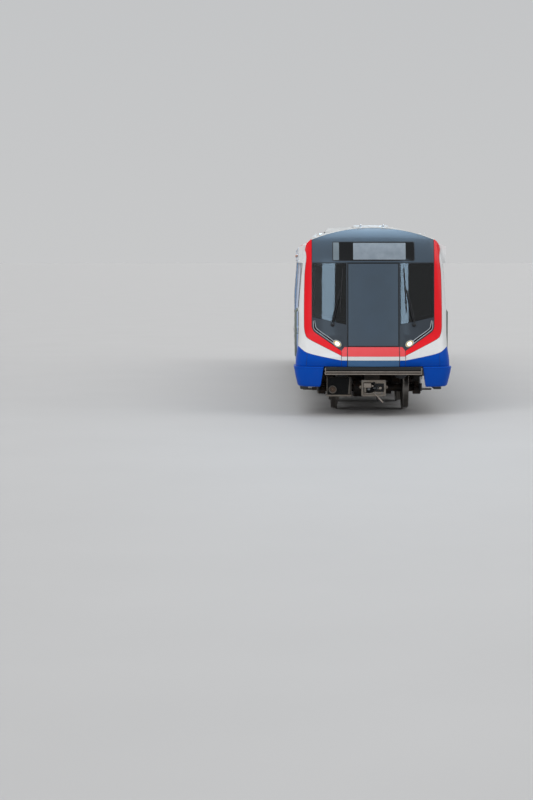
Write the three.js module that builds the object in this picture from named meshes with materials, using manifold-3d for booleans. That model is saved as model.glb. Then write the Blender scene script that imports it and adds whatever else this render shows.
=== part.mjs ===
// Driving car of an elevated metro train: the leading car with its cab, at full size.
// Millimetres, +Z up. The cab faces -Y. The origin is on the car's centreline, halfway
// along it, at the level of the lowest point of the wheel flanges.

import * as THREE from 'three';
import { mergeVertices } from 'three/addons/utils/BufferGeometryUtils.js';
import Module from 'manifold-3d';

const wasm = await Module();
wasm.setup();

// Driving dimensions of the body

const HALF_LENGTH = 10900;
const SIDES = { left: -1, right: 1 };
const FIT = 0.3;
const SOLE_HALF_WIDTH = 1560;
const SOLE_BOTTOM_Z = 1010;
const SOLE_TOP_Z = 1130;
const FLOOR_Z = 1190;
const WALL_HALF_WIDTH = 1500;
const WALL_THICKNESS = 100;
const WAIST_Z = 2180;
const CANTRAIL_Z = 3090;
const CANTRAIL_HALF_WIDTH = 1432;
const HEADER_HALF_WIDTH = 1495;
const HEADER_TOP_Z = 3430;
const CEILING_Z = 3290;
const ROOF_TOP_Z = 3820;
const ROOF_RADIUS = 3336;
const ROOF_EDGE_HALF_WIDTH = 1227;
const NOSE_BACK_Y = -9700;
const REAR_WALL_Y = 10500;
const REAR_WALL_THICKNESS = 100;

// Doorways and windows along the saloon

const DOORWAY_Y = { 1: -6100, 2: -1300, 3: 3500, 4: 8300 };
const DOORWAY_WIDTH = 1400;
const DOORWAY_TOP_Z = 3030;
const BAY_Y = { 1: -3700, 2: 1100, 3: 5900 };
const WINDOW_WIDTH = 1880;
const WINDOW_BOTTOM_Z = 1990;
const WINDOW_TOP_Z = 2890;
const LEAF_THICKNESS = 40;
const LEAF_WALL_GAP = 6;
const LEAF_EDGE_GAP = 5;
const LEAF_TOP_Z = 3080;
const LEAF_GUIDE_GAP = 0.5;
const LEAF_WINDOW_WIDTH = 420;
const CAB_DOORWAY_FRONT_Y = -9500;
const CAB_DOORWAY_REAR_Y = -8850;
const CAB_DOORWAY_TOP_Z = 2960;
const CAB_LEAF_THICKNESS = 40;
const CAB_HINGE_X = 1394;
const CAB_HINGE_Y = CAB_DOORWAY_REAR_Y - 12;
const CAB_HINGE_RADIUS = 9;
const CAB_HINGE_BANDS = [
  // leaf knuckle from, to; fixed knuckle to; reach of the fixed lug; reach of the leaf's arm
  [1400, 1480, 1560, 36, 76],
  [2600, 2680, 2760, 9, 40],
];
const CAB_WINDOW = { y0: -9380, y1: -8970, z0: 2020, z1: 2820 };
const WALL_INSIDE_X = 1200;
const CUTTER_X = 1700;

// Nose

const CHIN_Y = -10800;
const CHIN_TOP_Z = 1215;
const SHELF_Y = -10680;
const SHELF_Z = 1400;
const MASK_TOP_Z = 3097;
const MASK_TOP_Y = -10456;
const DOME_LEAN = 95;
const DOME_DEPTH = 420;
const BOW_RADIUS = 4500;
const CORNER_RADIUS = 260;
const NOSE_WALL = 100;
const NOSE_SHOULDER_Z = 3364;
const NOSE_SHOULDER_HALF_WIDTH = 1378;
const SHELF_HALF_WIDTH = 640;
const FRONT_DOOR_HALF_WIDTH = 511;
const FRONT_DOOR_BOTTOM_Z = 1409;
const FRONT_DOOR_TOP_Z = 3085;
const FRONT_DOOR_THICKNESS = 40;
const FRONT_DOOR_REBATE = 46;
const FRONT_DOOR_GAP = 6;
const FRONT_DOOR_HINGE_RADIUS = 8;

// Running gear

const BOGIE_Y = { front: -7500, rear: 7500 };
const HALF_WHEELBASE = 1150;
const FLANGE_RADIUS = 453;
const TREAD_RADIUS = 425;
const AXLE_Z = FLANGE_RADIUS * Math.cos(Math.PI / 24);
const AXLE_RADIUS = 85;
const JOURNAL_RADIUS = 80;
const JOURNAL_CLEARANCE = 0.2;
const WHEEL_SEGMENTS = 24;
const WHEEL_BACK_X = 680;
const BEAM_X = 1000;
const BEAM_HALF_WIDTH = 60;
const CENTRE_SILL_Z = 860;
const COUPLER_PIVOT_Y = 10150;
const COUPLER_PIVOT_TOP_Z = 660;
const COUPLER_PIVOT_BOTTOM_Z = 500;

// Materials

const colours = {
  silver: ['#c9ccd6', 0.45, 0.35],
  white: ['#e6e4e2', 0.0, 0.45],
  blue: ['#003d9a', 0.0, 0.35],
  slate: ['#434e5a', 0.1, 0.35],
  black: ['#1c1f23', 0.2, 0.55],
  steel: ['#6b6763', 0.7, 0.5],
  grey: ['#8a8d90', 0.3, 0.5],
  seat: ['#2f5f9e', 0.0, 0.6],
  lining: ['#d5d6d2', 0.0, 0.6],
};

const car = new THREE.Group();

function material(colourName) {
  const [color, metalness, roughness] = colours[colourName];
  return new THREE.MeshStandardMaterial({ color, metalness, roughness });
}

function solidOf(geometry) {
  const bare = geometry.clone();
  bare.deleteAttribute('normal');
  bare.deleteAttribute('uv');
  const merged = mergeVertices(bare, 1e-3);
  const vertProperties = new Float32Array(merged.attributes.position.array);
  const triVerts = new Uint32Array(merged.index.array);
  return new wasm.Manifold(new wasm.Mesh({ numProp: 3, vertProperties, triVerts }));
}

function addNode(name, colourName, solid) {
  const mesh = solid.getMesh();
  const geometry = new THREE.BufferGeometry();
  geometry.setAttribute('position', new THREE.BufferAttribute(mesh.vertProperties, 3));
  geometry.setIndex(new THREE.BufferAttribute(mesh.triVerts, 1));
  geometry.computeVertexNormals();
  const node = new THREE.Mesh(geometry, material(colourName));
  node.name = name;
  car.add(node);
}

function join(solids) {
  return solids.reduce((whole, next) => whole.add(next));
}

// Box between two opposite corners.
function box(x0, x1, y0, y1, z0, z1) {
  const geometry = new THREE.BoxGeometry(Math.abs(x1 - x0), y1 - y0, z1 - z0);
  geometry.translate((x0 + x1) / 2, (y0 + y1) / 2, (z0 + z1) / 2);
  return solidOf(geometry);
}

// Lowest and highest x of what lies at one side, between two distances from the centreline.
function span(side, near, far) {
  return [Math.min(side * near, side * far), Math.max(side * near, side * far)];
}

// Box at one side of the car, between two distances from the centreline.
function sideBox(side, near, far, y0, y1, z0, z1) {
  return box(...span(side, near, far), y0, y1, z0, z1);
}

function outline(points) {
  return new THREE.Shape(points.map(([a, b]) => new THREE.Vector2(a, b)));
}

// Prism along Y of an outline in x and z.
function prismY(points, y0, y1) {
  const geometry = new THREE.ExtrudeGeometry(outline(points), { depth: y1 - y0, bevelEnabled: false });
  geometry.rotateX(Math.PI / 2);
  geometry.translate(0, y1, 0);
  return solidOf(geometry);
}

// Prism along X of an outline in y and z.
function prismX(points, x0, x1) {
  const geometry = new THREE.ExtrudeGeometry(outline(points), { depth: x1 - x0, bevelEnabled: false });
  const turn = new THREE.Matrix4().makeBasis(
    new THREE.Vector3(0, 1, 0),
    new THREE.Vector3(0, 0, 1),
    new THREE.Vector3(1, 0, 0),
  );
  geometry.applyMatrix4(turn);
  geometry.translate(x0, 0, 0);
  return solidOf(geometry);
}

// Cylinder with its axis along X, Y or Z.
function cylinder(axis, radius, length, segments, x, y, z) {
  const geometry = new THREE.CylinderGeometry(radius, radius, length, segments);
  if (axis === 'x') {
    geometry.rotateY(Math.PI / segments);
    geometry.rotateZ(Math.PI / 2);
  }
  if (axis === 'z') {
    geometry.rotateX(Math.PI / 2);
  }
  geometry.translate(x, y, z);
  return solidOf(geometry);
}

// Closed solid through a stack of rings that all have the same number of points.
function loft(rings) {
  const count = rings[0].length;
  const positions = rings.flat().flat();
  const index = [];
  for (let level = 0; level < rings.length - 1; level += 1) {
    for (let i = 0; i < count; i += 1) {
      const a = level * count + i;
      const b = level * count + ((i + 1) % count);
      index.push(a, b, b + count, a, b + count, a + count);
    }
  }
  const flat = rings[0].map(([x, y]) => new THREE.Vector2(x, y));
  const caps = THREE.ShapeUtils.triangulateShape(flat, []);
  const top = (rings.length - 1) * count;
  for (const [a, b, c] of caps) {
    index.push(a, c, b);
    index.push(top + a, top + b, top + c);
  }
  const geometry = new THREE.BufferGeometry();
  geometry.setAttribute('position', new THREE.Float32BufferAttribute(positions, 3));
  geometry.setIndex(index);
  return solidOf(geometry);
}

// Half width of the wall's outer face at a height.
function wallX(z) {
  if (z <= WAIST_Z) {
    return WALL_HALF_WIDTH;
  }
  const lean = (WALL_HALF_WIDTH - CANTRAIL_HALF_WIDTH) / (CANTRAIL_Z - WAIST_Z);
  return WALL_HALF_WIDTH - (z - WAIST_Z) * lean;
}

// Outline of a leaf or wall that lies between two offsets from the wall's outer face.
function wallOutline(side, inner, outer, z0, z1) {
  const heights = [z0, WAIST_Z, z1];
  const outside = heights.map((z) => [side * (wallX(z) + outer), z]);
  const inside = heights.map((z) => [side * (wallX(z) + inner), z]).reverse();
  return [...outside, ...inside];
}

// Points of the roof's arc from +x to -x.
function roofArc(segments) {
  const half = Math.asin(ROOF_EDGE_HALF_WIDTH / ROOF_RADIUS);
  const points = [];
  for (let i = 0; i <= segments; i += 1) {
    const angle = half - (2 * half * i) / segments;
    points.push([
      ROOF_RADIUS * Math.sin(angle),
      ROOF_TOP_Z - ROOF_RADIUS * (1 - Math.cos(angle)),
    ]);
  }
  return points;
}

// Nose surface

function noseHalfWidth(z) {
  const table = [
    // height, half width
    [SOLE_BOTTOM_Z, SOLE_HALF_WIDTH],
    [SOLE_TOP_Z, 1556],
    [CHIN_TOP_Z, 1545],
    [SHELF_Z, 1514],
    [1650, WALL_HALF_WIDTH],
    [WAIST_Z, WALL_HALF_WIDTH],
    [CANTRAIL_Z, CANTRAIL_HALF_WIDTH],
    [NOSE_SHOULDER_Z, NOSE_SHOULDER_HALF_WIDTH],
    [ROOF_TOP_Z + 50, NOSE_SHOULDER_HALF_WIDTH],
  ];
  for (let i = 1; i < table.length; i += 1) {
    const [z0, w0] = table[i - 1];
    const [z1, w1] = table[i];
    if (z <= z1) {
      return w0 + ((w1 - w0) * (z - z0)) / (z1 - z0);
    }
  }
  return NOSE_SHOULDER_HALF_WIDTH;
}

// Front line of the mask and dome on the centreline.
function maskY(z) {
  const rake = (MASK_TOP_Y - SHELF_Y) / (MASK_TOP_Z - SHELF_Z);
  if (z <= MASK_TOP_Z) {
    return SHELF_Y + (z - SHELF_Z) * rake;
  }
  const t = Math.min((z - MASK_TOP_Z) / (ROOF_TOP_Z - MASK_TOP_Z), 1);
  return MASK_TOP_Y + DOME_LEAN * t + DOME_DEPTH * (1 - Math.sqrt(1 - t * t));
}

// How far the chin stands in front of the mask's line.
function chinBulge(x, z) {
  const full = SHELF_Y - CHIN_Y + (maskY(z) - SHELF_Y);
  const shelf = THREE.MathUtils.clamp((SHELF_Z - z) / (SHELF_Z - CHIN_TOP_Z), 0, 1);
  const soft = THREE.MathUtils.smoothstep(1650 - z, 0, 1650 - SOLE_TOP_Z);
  const centre = THREE.MathUtils.smoothstep(SHELF_HALF_WIDTH + 60 - Math.abs(x), 0, 60);
  const under = THREE.MathUtils.clamp((SOLE_TOP_Z - z) / (SOLE_TOP_Z - SOLE_BOTTOM_Z), 0, 1);
  return full * (centre * shelf + (1 - centre) * soft) - 40 * under * under;
}

// Ring of the nose at one height, inset from the outer surface, open side at the back.
function noseRing(z, inset, withChin) {
  const halfWidth = noseHalfWidth(z) - inset;
  const radius = CORNER_RADIUS - inset * 0.5;
  const front = maskY(z) + inset;
  const startSine = (halfWidth - radius) / (BOW_RADIUS - radius);
  const start = Math.asin(startSine);
  const startX = BOW_RADIUS * startSine;
  const half = [];
  for (const x of [0, 260, 517, SHELF_HALF_WIDTH, SHELF_HALF_WIDTH + 60, 900, 1080]) {
    const bulge = withChin ? chinBulge(x, z) : 0;
    half.push([x, front + BOW_RADIUS - Math.sqrt(BOW_RADIUS ** 2 - x ** 2) - bulge]);
  }
  const bulge = withChin ? chinBulge(startX, z) : 0;
  const startY = front + BOW_RADIUS * (1 - Math.cos(start));
  for (const step of [0, 0.33, 0.67, 1]) {
    const angle = start + (Math.PI / 2 - start) * step;
    const x = halfWidth - radius + radius * Math.sin(angle);
    const y = startY + radius * (Math.cos(start) - Math.cos(angle));
    half.push([x, y - bulge * (1 - step)]);
  }
  const back = [halfWidth, NOSE_BACK_Y + (inset > 0 ? 50 : 0)];
  const right = [...half, back];
  const left = right.slice(1).map(([x, y]) => [-x, y]).reverse();
  return [...left, ...right].map(([x, y]) => [x, y, z]);
}

function noseLoft(heights, inset, withChin) {
  return loft(heights.map((z) => noseRing(z, inset, withChin)));
}

// Cross-section of the nose, which trims the lofted body to the roof's arc.
function noseSection() {
  const right = [
    [SOLE_HALF_WIDTH + 50, SOLE_BOTTOM_Z - 20],
    [SOLE_HALF_WIDTH + 50, NOSE_SHOULDER_Z],
    [NOSE_SHOULDER_HALF_WIDTH, NOSE_SHOULDER_Z],
    [1352, 3464],
    [1303, 3535],
  ];
  const left = right.map(([x, z]) => [-x, z]).reverse();
  return [...right, ...roofArc(12), ...left];
}

const OUTER_HEIGHTS = [
  SOLE_BOTTOM_Z, SOLE_TOP_Z, CHIN_TOP_Z, 1300, SHELF_Z, 1520, 1650, WAIST_Z, MASK_TOP_Z, 3220,
  NOSE_SHOULDER_Z, 3480, 3580, 3660, 3720, 3765, 3795, ROOF_TOP_Z, ROOF_TOP_Z + 2,
];
const noseOuter = noseLoft(OUTER_HEIGHTS, 0, true);
const noseTrim = prismY(noseSection(), CHIN_Y - 100, NOSE_BACK_Y);

// Front door and its rebate in the nose

function inFrontOf(depth, x, z0, z1) {
  const block = box(-x, x, CHIN_Y - 100, NOSE_BACK_Y - 200, z0, z1);
  return block.subtract(noseOuter.translate([0, depth, 0]));
}

function frontDoorLeaf() {
  const x = FRONT_DOOR_HALF_WIDTH;
  const block = inFrontOf(FRONT_DOOR_THICKNESS, x, FRONT_DOOR_BOTTOM_Z, FRONT_DOOR_TOP_Z);
  return block.intersect(noseOuter);
}

const doorRake = Math.atan2(MASK_TOP_Y - SHELF_Y, MASK_TOP_Z - SHELF_Z);
const hingeX = -(FRONT_DOOR_HALF_WIDTH + FRONT_DOOR_GAP / 2);
const hingeBow = BOW_RADIUS - Math.sqrt(BOW_RADIUS ** 2 - hingeX ** 2);

// Length of cylinder on the front door's inclined hinge line, between two heights.
function hingeRod(radius, z0, z1) {
  const length = (z1 - z0) / Math.cos(doorRake);
  const geometry = new THREE.CylinderGeometry(radius, radius, length, 12);
  geometry.rotateX(Math.PI / 2 - doorRake);
  const z = (z0 + z1) / 2;
  geometry.translate(hingeX, maskY(z) + hingeBow, z);
  return solidOf(geometry);
}

const FRONT_HINGE_BANDS = [
  // leaf knuckle from, to; fixed knuckle to
  [1560, 1640, 1720],
  [2800, 2880, 2960],
];
const HINGE_GAP = 0.4;
const HEADER_INNER_X = 1340;
const HEADER_FRONT_Y = -10040;
const WINDSCREEN_BACK_Y = -10150;
const DOOR_OPENING = { halfWidth: 460, z0: 1450, z1: 3040 };
const WINDSCREEN = [
  // across, height
  [1180, 2050],
  [555, 1912],
  [555, 3050],
  [1180, 3050],
];

function buildNose() {
  const inner = noseLoft([FLOOR_Z, WAIST_Z, CANTRAIL_Z, CEILING_Z], NOSE_WALL, false);
  let nose = noseOuter.intersect(noseTrim).subtract(inner);
  for (const side of Object.values(SIDES)) {
    const windscreen = WINDSCREEN.map(([x, z]) => [side * x, z]);
    nose = nose.subtract(prismY(windscreen, CHIN_Y, WINDSCREEN_BACK_Y));
    const header = [
      [side * HEADER_INNER_X, CANTRAIL_Z],
      [side * HEADER_HALF_WIDTH, CANTRAIL_Z],
      [side * HEADER_HALF_WIDTH, HEADER_TOP_Z],
      [side * HEADER_INNER_X, HEADER_TOP_Z + 50],
    ];
    const slant = prismX(
      [[-10150, 3000], [-9960, 3000], [-10060, 3600], [-10250, 3600]],
      ...span(side, 1300, CUTTER_X),
    );
    nose = nose.add(prismY(header, HEADER_FRONT_Y, NOSE_BACK_Y).subtract(slant));
  }
  nose = nose.subtract(inFrontOf(
    FRONT_DOOR_REBATE, FRONT_DOOR_HALF_WIDTH + FRONT_DOOR_GAP, SHELF_Z, MASK_TOP_Z,
  ));
  const { halfWidth, z0, z1 } = DOOR_OPENING;
  nose = nose.subtract(box(-halfWidth, halfWidth, CHIN_Y, WINDSCREEN_BACK_Y, z0, z1));
  for (const [leafFrom, leafTo, fixedTo] of FRONT_HINGE_BANDS) {
    const pocket = hingeRod(
      FRONT_DOOR_HINGE_RADIUS + FRONT_DOOR_GAP, leafFrom - FRONT_DOOR_GAP, leafTo + HINGE_GAP,
    );
    nose = nose.subtract(pocket).add(hingeRod(FRONT_DOOR_HINGE_RADIUS, leafTo + HINGE_GAP, fixedTo));
  }
  addNode('nose_shell', 'white', nose);
}

function buildFrontDoor() {
  let leaf = frontDoorLeaf();
  for (const [leafFrom, leafTo, fixedTo] of FRONT_HINGE_BANDS) {
    const pocket = hingeRod(FRONT_DOOR_HINGE_RADIUS + FRONT_DOOR_GAP, leafTo, fixedTo + FRONT_DOOR_GAP);
    leaf = leaf.subtract(pocket).add(hingeRod(FRONT_DOOR_HINGE_RADIUS, leafFrom, leafTo));
  }
  addNode('front_door', 'slate', leaf);
}

// Body

function buildUnderframe() {
  const bodyEnd = REAR_WALL_Y - FIT;
  const parts = [
    box(-SOLE_HALF_WIDTH, SOLE_HALF_WIDTH, NOSE_BACK_Y + FIT, bodyEnd, SOLE_BOTTOM_Z, SOLE_TOP_Z),
    box(
      -WALL_HALF_WIDTH + WALL_THICKNESS + FIT, WALL_HALF_WIDTH - WALL_THICKNESS - FIT,
      NOSE_BACK_Y + FIT, bodyEnd, SOLE_TOP_Z - 20, FLOOR_Z,
    ),
    box(-300, 300, -10600, -9000, CENTRE_SILL_Z, SOLE_BOTTOM_Z - FIT),
    box(-300, 300, -9600, -9000, CENTRE_SILL_Z, SOLE_BOTTOM_Z + 20),
    box(-300, 300, 9000, bodyEnd, CENTRE_SILL_Z, SOLE_BOTTOM_Z + 20),
  ];
  const bottom = COUPLER_PIVOT_BOTTOM_Z - 40;
  const top = CENTRE_SILL_Z + 20;
  for (const end of [-1, 1]) {
    const jaw = span(end, COUPLER_PIVOT_Y - 210, COUPLER_PIVOT_Y + 110);
    const web = span(end, COUPLER_PIVOT_Y - 210, COUPLER_PIVOT_Y - 130);
    parts.push(box(-150, 150, ...jaw, COUPLER_PIVOT_TOP_Z + FIT, top));
    parts.push(box(-150, 150, ...jaw, bottom, COUPLER_PIVOT_BOTTOM_Z - FIT));
    parts.push(box(-150, 150, ...web, bottom, top));
  }
  addNode('underframe', 'grey', join(parts));
}

function buildSideWalls() {
  for (const [sideName, side] of Object.entries(SIDES)) {
    const section = wallOutline(side, -WALL_THICKNESS, 0, SOLE_TOP_Z + FIT, CANTRAIL_Z - FIT);
    let wall = prismY(section, NOSE_BACK_Y + FIT, REAR_WALL_Y - FIT);
    const holes = [[CAB_DOORWAY_FRONT_Y, CAB_DOORWAY_REAR_Y, FLOOR_Z, CAB_DOORWAY_TOP_Z]];
    for (const y of Object.values(DOORWAY_Y)) {
      holes.push([y - DOORWAY_WIDTH / 2, y + DOORWAY_WIDTH / 2, FLOOR_Z, DOORWAY_TOP_Z]);
    }
    for (const y of Object.values(BAY_Y)) {
      holes.push([y - WINDOW_WIDTH / 2, y + WINDOW_WIDTH / 2, WINDOW_BOTTOM_Z, WINDOW_TOP_Z]);
    }
    for (const hole of holes) {
      wall = wall.subtract(sideBox(side, WALL_INSIDE_X, CUTTER_X, ...hole));
    }
    for (const [, leafTo, fixedTo, reach] of CAB_HINGE_BANDS) {
      const from = leafTo + HINGE_GAP;
      const lug = sideBox(side, CAB_HINGE_X - CAB_HINGE_RADIUS, CAB_HINGE_X + reach,
        CAB_HINGE_Y, CAB_DOORWAY_REAR_Y + 30, from, fixedTo);
      wall = join([wall, lug, cabHingePin(side, from, fixedTo)]);
    }
    addNode(`side_wall_${sideName}`, 'silver', wall);
  }
}

function cabHingePin(side, z0, z1) {
  const x = side * CAB_HINGE_X;
  return cylinder('z', CAB_HINGE_RADIUS, z1 - z0, 12, x, CAB_HINGE_Y, (z0 + z1) / 2);
}

function buildCabDoors() {
  const freeGap = 14;
  const hingeGap = 6;
  const z0 = FLOOR_Z + 6;
  const z1 = CAB_DOORWAY_TOP_Z - 8;
  for (const [sideName, side] of Object.entries(SIDES)) {
    const section = wallOutline(side, -CAB_LEAF_THICKNESS, 0, z0, z1);
    let leaf = prismY(section, CAB_DOORWAY_FRONT_Y + freeGap, CAB_DOORWAY_REAR_Y - hingeGap);
    const window = [CAB_WINDOW.y0, CAB_WINDOW.y1, CAB_WINDOW.z0, CAB_WINDOW.z1];
    leaf = leaf.subtract(sideBox(side, WALL_INSIDE_X, CUTTER_X, ...window));
    for (const [leafFrom, leafTo, , , armReach] of CAB_HINGE_BANDS) {
      const arm = sideBox(side, CAB_HINGE_X - CAB_HINGE_RADIUS, CAB_HINGE_X + armReach,
        CAB_HINGE_Y - 14, CAB_HINGE_Y + hingeGap, leafFrom, leafTo);
      leaf = join([leaf, arm, cabHingePin(side, leafFrom, leafTo)]);
    }
    addNode(`cab_door_${sideName}`, 'white', leaf);
  }
}

function buildSaloonDoors() {
  for (const [sideName, side] of Object.entries(SIDES)) {
    const inner = LEAF_WALL_GAP;
    const outer = LEAF_WALL_GAP + LEAF_THICKNESS;
    const section = wallOutline(side, inner, outer, SOLE_TOP_Z + LEAF_GUIDE_GAP, LEAF_TOP_Z);
    for (const [number, y] of Object.entries(DOORWAY_Y)) {
      for (const [handName, hand] of [['front', -1], ['rear', 1]]) {
        const closing = y + (hand * LEAF_EDGE_GAP) / 2;
        const outerEdge = y + hand * (DOORWAY_WIDTH / 2 + 25);
        const centre = y + (hand * DOORWAY_WIDTH) / 4;
        const leaf = prismY(section, Math.min(closing, outerEdge), Math.max(closing, outerEdge));
        const half = LEAF_WINDOW_WIDTH / 2;
        const window = sideBox(
          side, WALL_INSIDE_X, CUTTER_X, centre - half, centre + half, WINDOW_BOTTOM_Z, WINDOW_TOP_Z,
        );
        addNode(`door_${sideName}_${number}_${handName}`, 'silver', leaf.subtract(window));
      }
    }
  }
}

function roofSection() {
  const right = [
    [WALL_HALF_WIDTH - WALL_THICKNESS - 68, CEILING_Z],
    [WALL_HALF_WIDTH - WALL_THICKNESS - 68, CANTRAIL_Z],
    [HEADER_HALF_WIDTH, CANTRAIL_Z],
    [HEADER_HALF_WIDTH, HEADER_TOP_Z],
    [1390, 3480],
    [1303, 3535],
  ];
  const left = right.map(([x, z]) => [-x, z]).reverse();
  return [...right, ...roofArc(12), ...left];
}

function buildRoof() {
  addNode('roof', 'white', prismY(roofSection(), NOSE_BACK_Y + FIT, REAR_WALL_Y - FIT));
}

function buildAirConditioning() {
  const units = { front: -3700, rear: 5900 };
  const length = 3600;
  const section = [[-880, 3600], [-880, 3800], [-800, 3878], [800, 3878], [880, 3800], [880, 3600]];
  const under = roofArc(12).map(([x, z]) => [x, z + FIT]);
  const below = prismY([...under, [-1300, 3000], [1300, 3000]], -HALF_LENGTH, HALF_LENGTH);
  for (const [place, y] of Object.entries(units)) {
    const ends = prismX(
      [
        [y - length / 2, 3600], [y - length / 2, 3800], [y - length / 2 + 120, 3890],
        [y + length / 2 - 120, 3890], [y + length / 2, 3800], [y + length / 2, 3600],
      ],
      -900, 900,
    );
    const unit = prismY(section, y - length / 2, y + length / 2).intersect(ends).subtract(below);
    addNode(`air_conditioner_${place}`, 'grey', unit);
  }
}

function endSection(bottom) {
  const right = [
    [WALL_HALF_WIDTH, bottom],
    [WALL_HALF_WIDTH, WAIST_Z],
    [CANTRAIL_HALF_WIDTH, CANTRAIL_Z],
    [HEADER_HALF_WIDTH, CANTRAIL_Z],
    [HEADER_HALF_WIDTH, HEADER_TOP_Z],
    [1390, 3480],
    [1303, 3535],
  ];
  const left = right.map(([x, z]) => [-x, z]).reverse();
  return [...right, ...roofArc(12), ...left];
}

const GANGWAY_HALF_WIDTH = 600;
const GANGWAY_TOP_Z = 3180;

function buildRearEnd() {
  const y0 = REAR_WALL_Y;
  const y1 = REAR_WALL_Y + REAR_WALL_THICKNESS;
  const opening = box(
    -GANGWAY_HALF_WIDTH, GANGWAY_HALF_WIDTH, y0 - 50, y1 + 400, FLOOR_Z, GANGWAY_TOP_Z,
  );
  addNode('end_wall_rear', 'silver', prismY(endSection(SOLE_BOTTOM_Z), y0, y1).subtract(opening));
  const rings = [];
  const folds = 6;
  const start = y1 + FIT;
  const length = 265;
  for (let i = 0; i <= 2 * folds; i += 1) {
    const grow = i % 2 === 0 ? 0 : 45;
    const x = 760 + grow;
    const z0 = 1080 - grow;
    const z1 = 3300 + grow;
    const y = start + (length * i) / (2 * folds);
    const cut = 150;
    rings.push([
      [-x + cut, y, z0], [x - cut, y, z0], [x, y, z0 + cut], [x, y, z1 - cut],
      [x - cut, y, z1], [-x + cut, y, z1], [-x, y, z1 - cut], [-x, y, z0 + cut],
    ]);
  }
  const rim = rings.map((ring) => ring.map(([x, y, z]) => [x, z, -y]));
  const turned = loft(rim.reverse()).rotate([90, 0, 0]);
  addNode('gangway_bellows', 'black', turned.subtract(opening));
}

// Front end below the nose

function buildSkirts() {
  const top = SOLE_BOTTOM_Z - FIT;
  const bottom = 612;
  const skin = 45;
  // height, lean inward
  const levels = [[bottom, 150], [700, 90], [850, 25], [top, 2]];
  const shell = (inset) => loft(levels.map(([z, lean]) => skirtRing(z, lean + inset)));
  const whole = shell(0).subtract(shell(skin));
  for (const [sideName, side] of Object.entries(SIDES)) {
    const front = [
      [side * 1005, top + 5],
      [side * 1063, bottom - 5],
      [side * 1700, bottom - 5],
      [side * 1700, top + 5],
    ];
    const skirt = whole.intersect(prismY(front, CHIN_Y - 200, -9720));
    addNode(`corner_skirt_${sideName}`, 'blue', skirt);
  }
}

function skirtRing(z, inset) {
  const ring = noseRing(SOLE_BOTTOM_Z, 0, true);
  const halfWidth = SOLE_HALF_WIDTH;
  return ring.map(([x, y]) => [
    (x * (halfWidth - inset)) / halfWidth,
    y < NOSE_BACK_Y - 1 ? y + inset * 0.9 : y + 20,
    z,
  ]);
}

function buildAntiClimber() {
  const z0 = 850;
  const z1 = 985;
  const ribs = 3;
  const pitch = (z1 - z0) / ribs;
  const parts = [box(-970, 970, -10700, -10600 - FIT, z0, z1)];
  for (let i = 0; i < ribs; i += 1) {
    const z = z0 + i * pitch;
    parts.push(box(-970, 970, -10780, -10690, z, z + pitch * 0.55));
  }
  addNode('anti_climber', 'steel', join(parts));
}

function buildHornBox() {
  const x0 = -926;
  const x1 = -430;
  const bottom = 425;
  const top = 780;
  const tray = 20;
  const horn = { x: -817, y: -10540, z: 540, radius: 62, length: 60 };
  const drain = { x: -700, y: -10400, z: 365, radius: 22, length: 90 };
  const parts = [
    box(x0, x1, -10520, -10250, bottom, top),
    box(x0 - 6, x1 + 6, -10530, -10240, bottom - tray, bottom + 5),
    cylinder('y', horn.radius, horn.length, 20, horn.x, horn.y, horn.z),
    cylinder('z', drain.radius, drain.length, 12, drain.x, drain.y, drain.z),
  ];
  for (const x of [x0 + 60, x1 - 120]) {
    parts.push(box(x, x + 60, -10450, -10300, top - 10, SOLE_BOTTOM_Z - FIT));
  }
  addNode('horn_box', 'black', join(parts));
}

function buildCouplers() {
  const headY = 10600;
  const faceY = 10860;
  const cone = { x: 110, z: 590, radius: 70, bore: 45 };
  for (const [place, end] of [['front', -1], ['rear', 1]]) {
    const pivot = cylinder(
      'z', 100, COUPLER_PIVOT_TOP_Z - COUPLER_PIVOT_BOTTOM_Z, 20,
      0, end * COUPLER_PIVOT_Y, (COUPLER_PIVOT_TOP_Z + COUPLER_PIVOT_BOTTOM_Z) / 2,
    );
    const parts = [pivot, box(-60, 60, ...span(end, COUPLER_PIVOT_Y + 60, headY + 20), 520, 640)];
    if (place === 'front') {
      parts.push(box(-238, 242, ...span(end, headY, faceY), 425, 738));
      parts.push(cylinder('y', cone.radius, 80, 16, cone.x, -faceY, cone.z));
      parts.push(box(60, 90, -10800, -10640, 310, 430));
    } else {
      parts.push(box(-95, 95, ...span(end, headY, HALF_LENGTH - 40), 500, 660));
      parts.push(box(-150, 150, ...span(end, HALF_LENGTH - 45, HALF_LENGTH), 440, 720));
    }
    let coupler = join(parts);
    if (place === 'front') {
      const recess = box(-205, 20, -HALF_LENGTH, 90 - faceY, 470, 700);
      const bore = cylinder('y', cone.bore, 160, 16, cone.x, -HALF_LENGTH, cone.z);
      coupler = coupler.subtract(recess).subtract(bore);
    }
    addNode(`coupler_${place}`, 'steel', coupler);
  }
}

// Running gear

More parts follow.
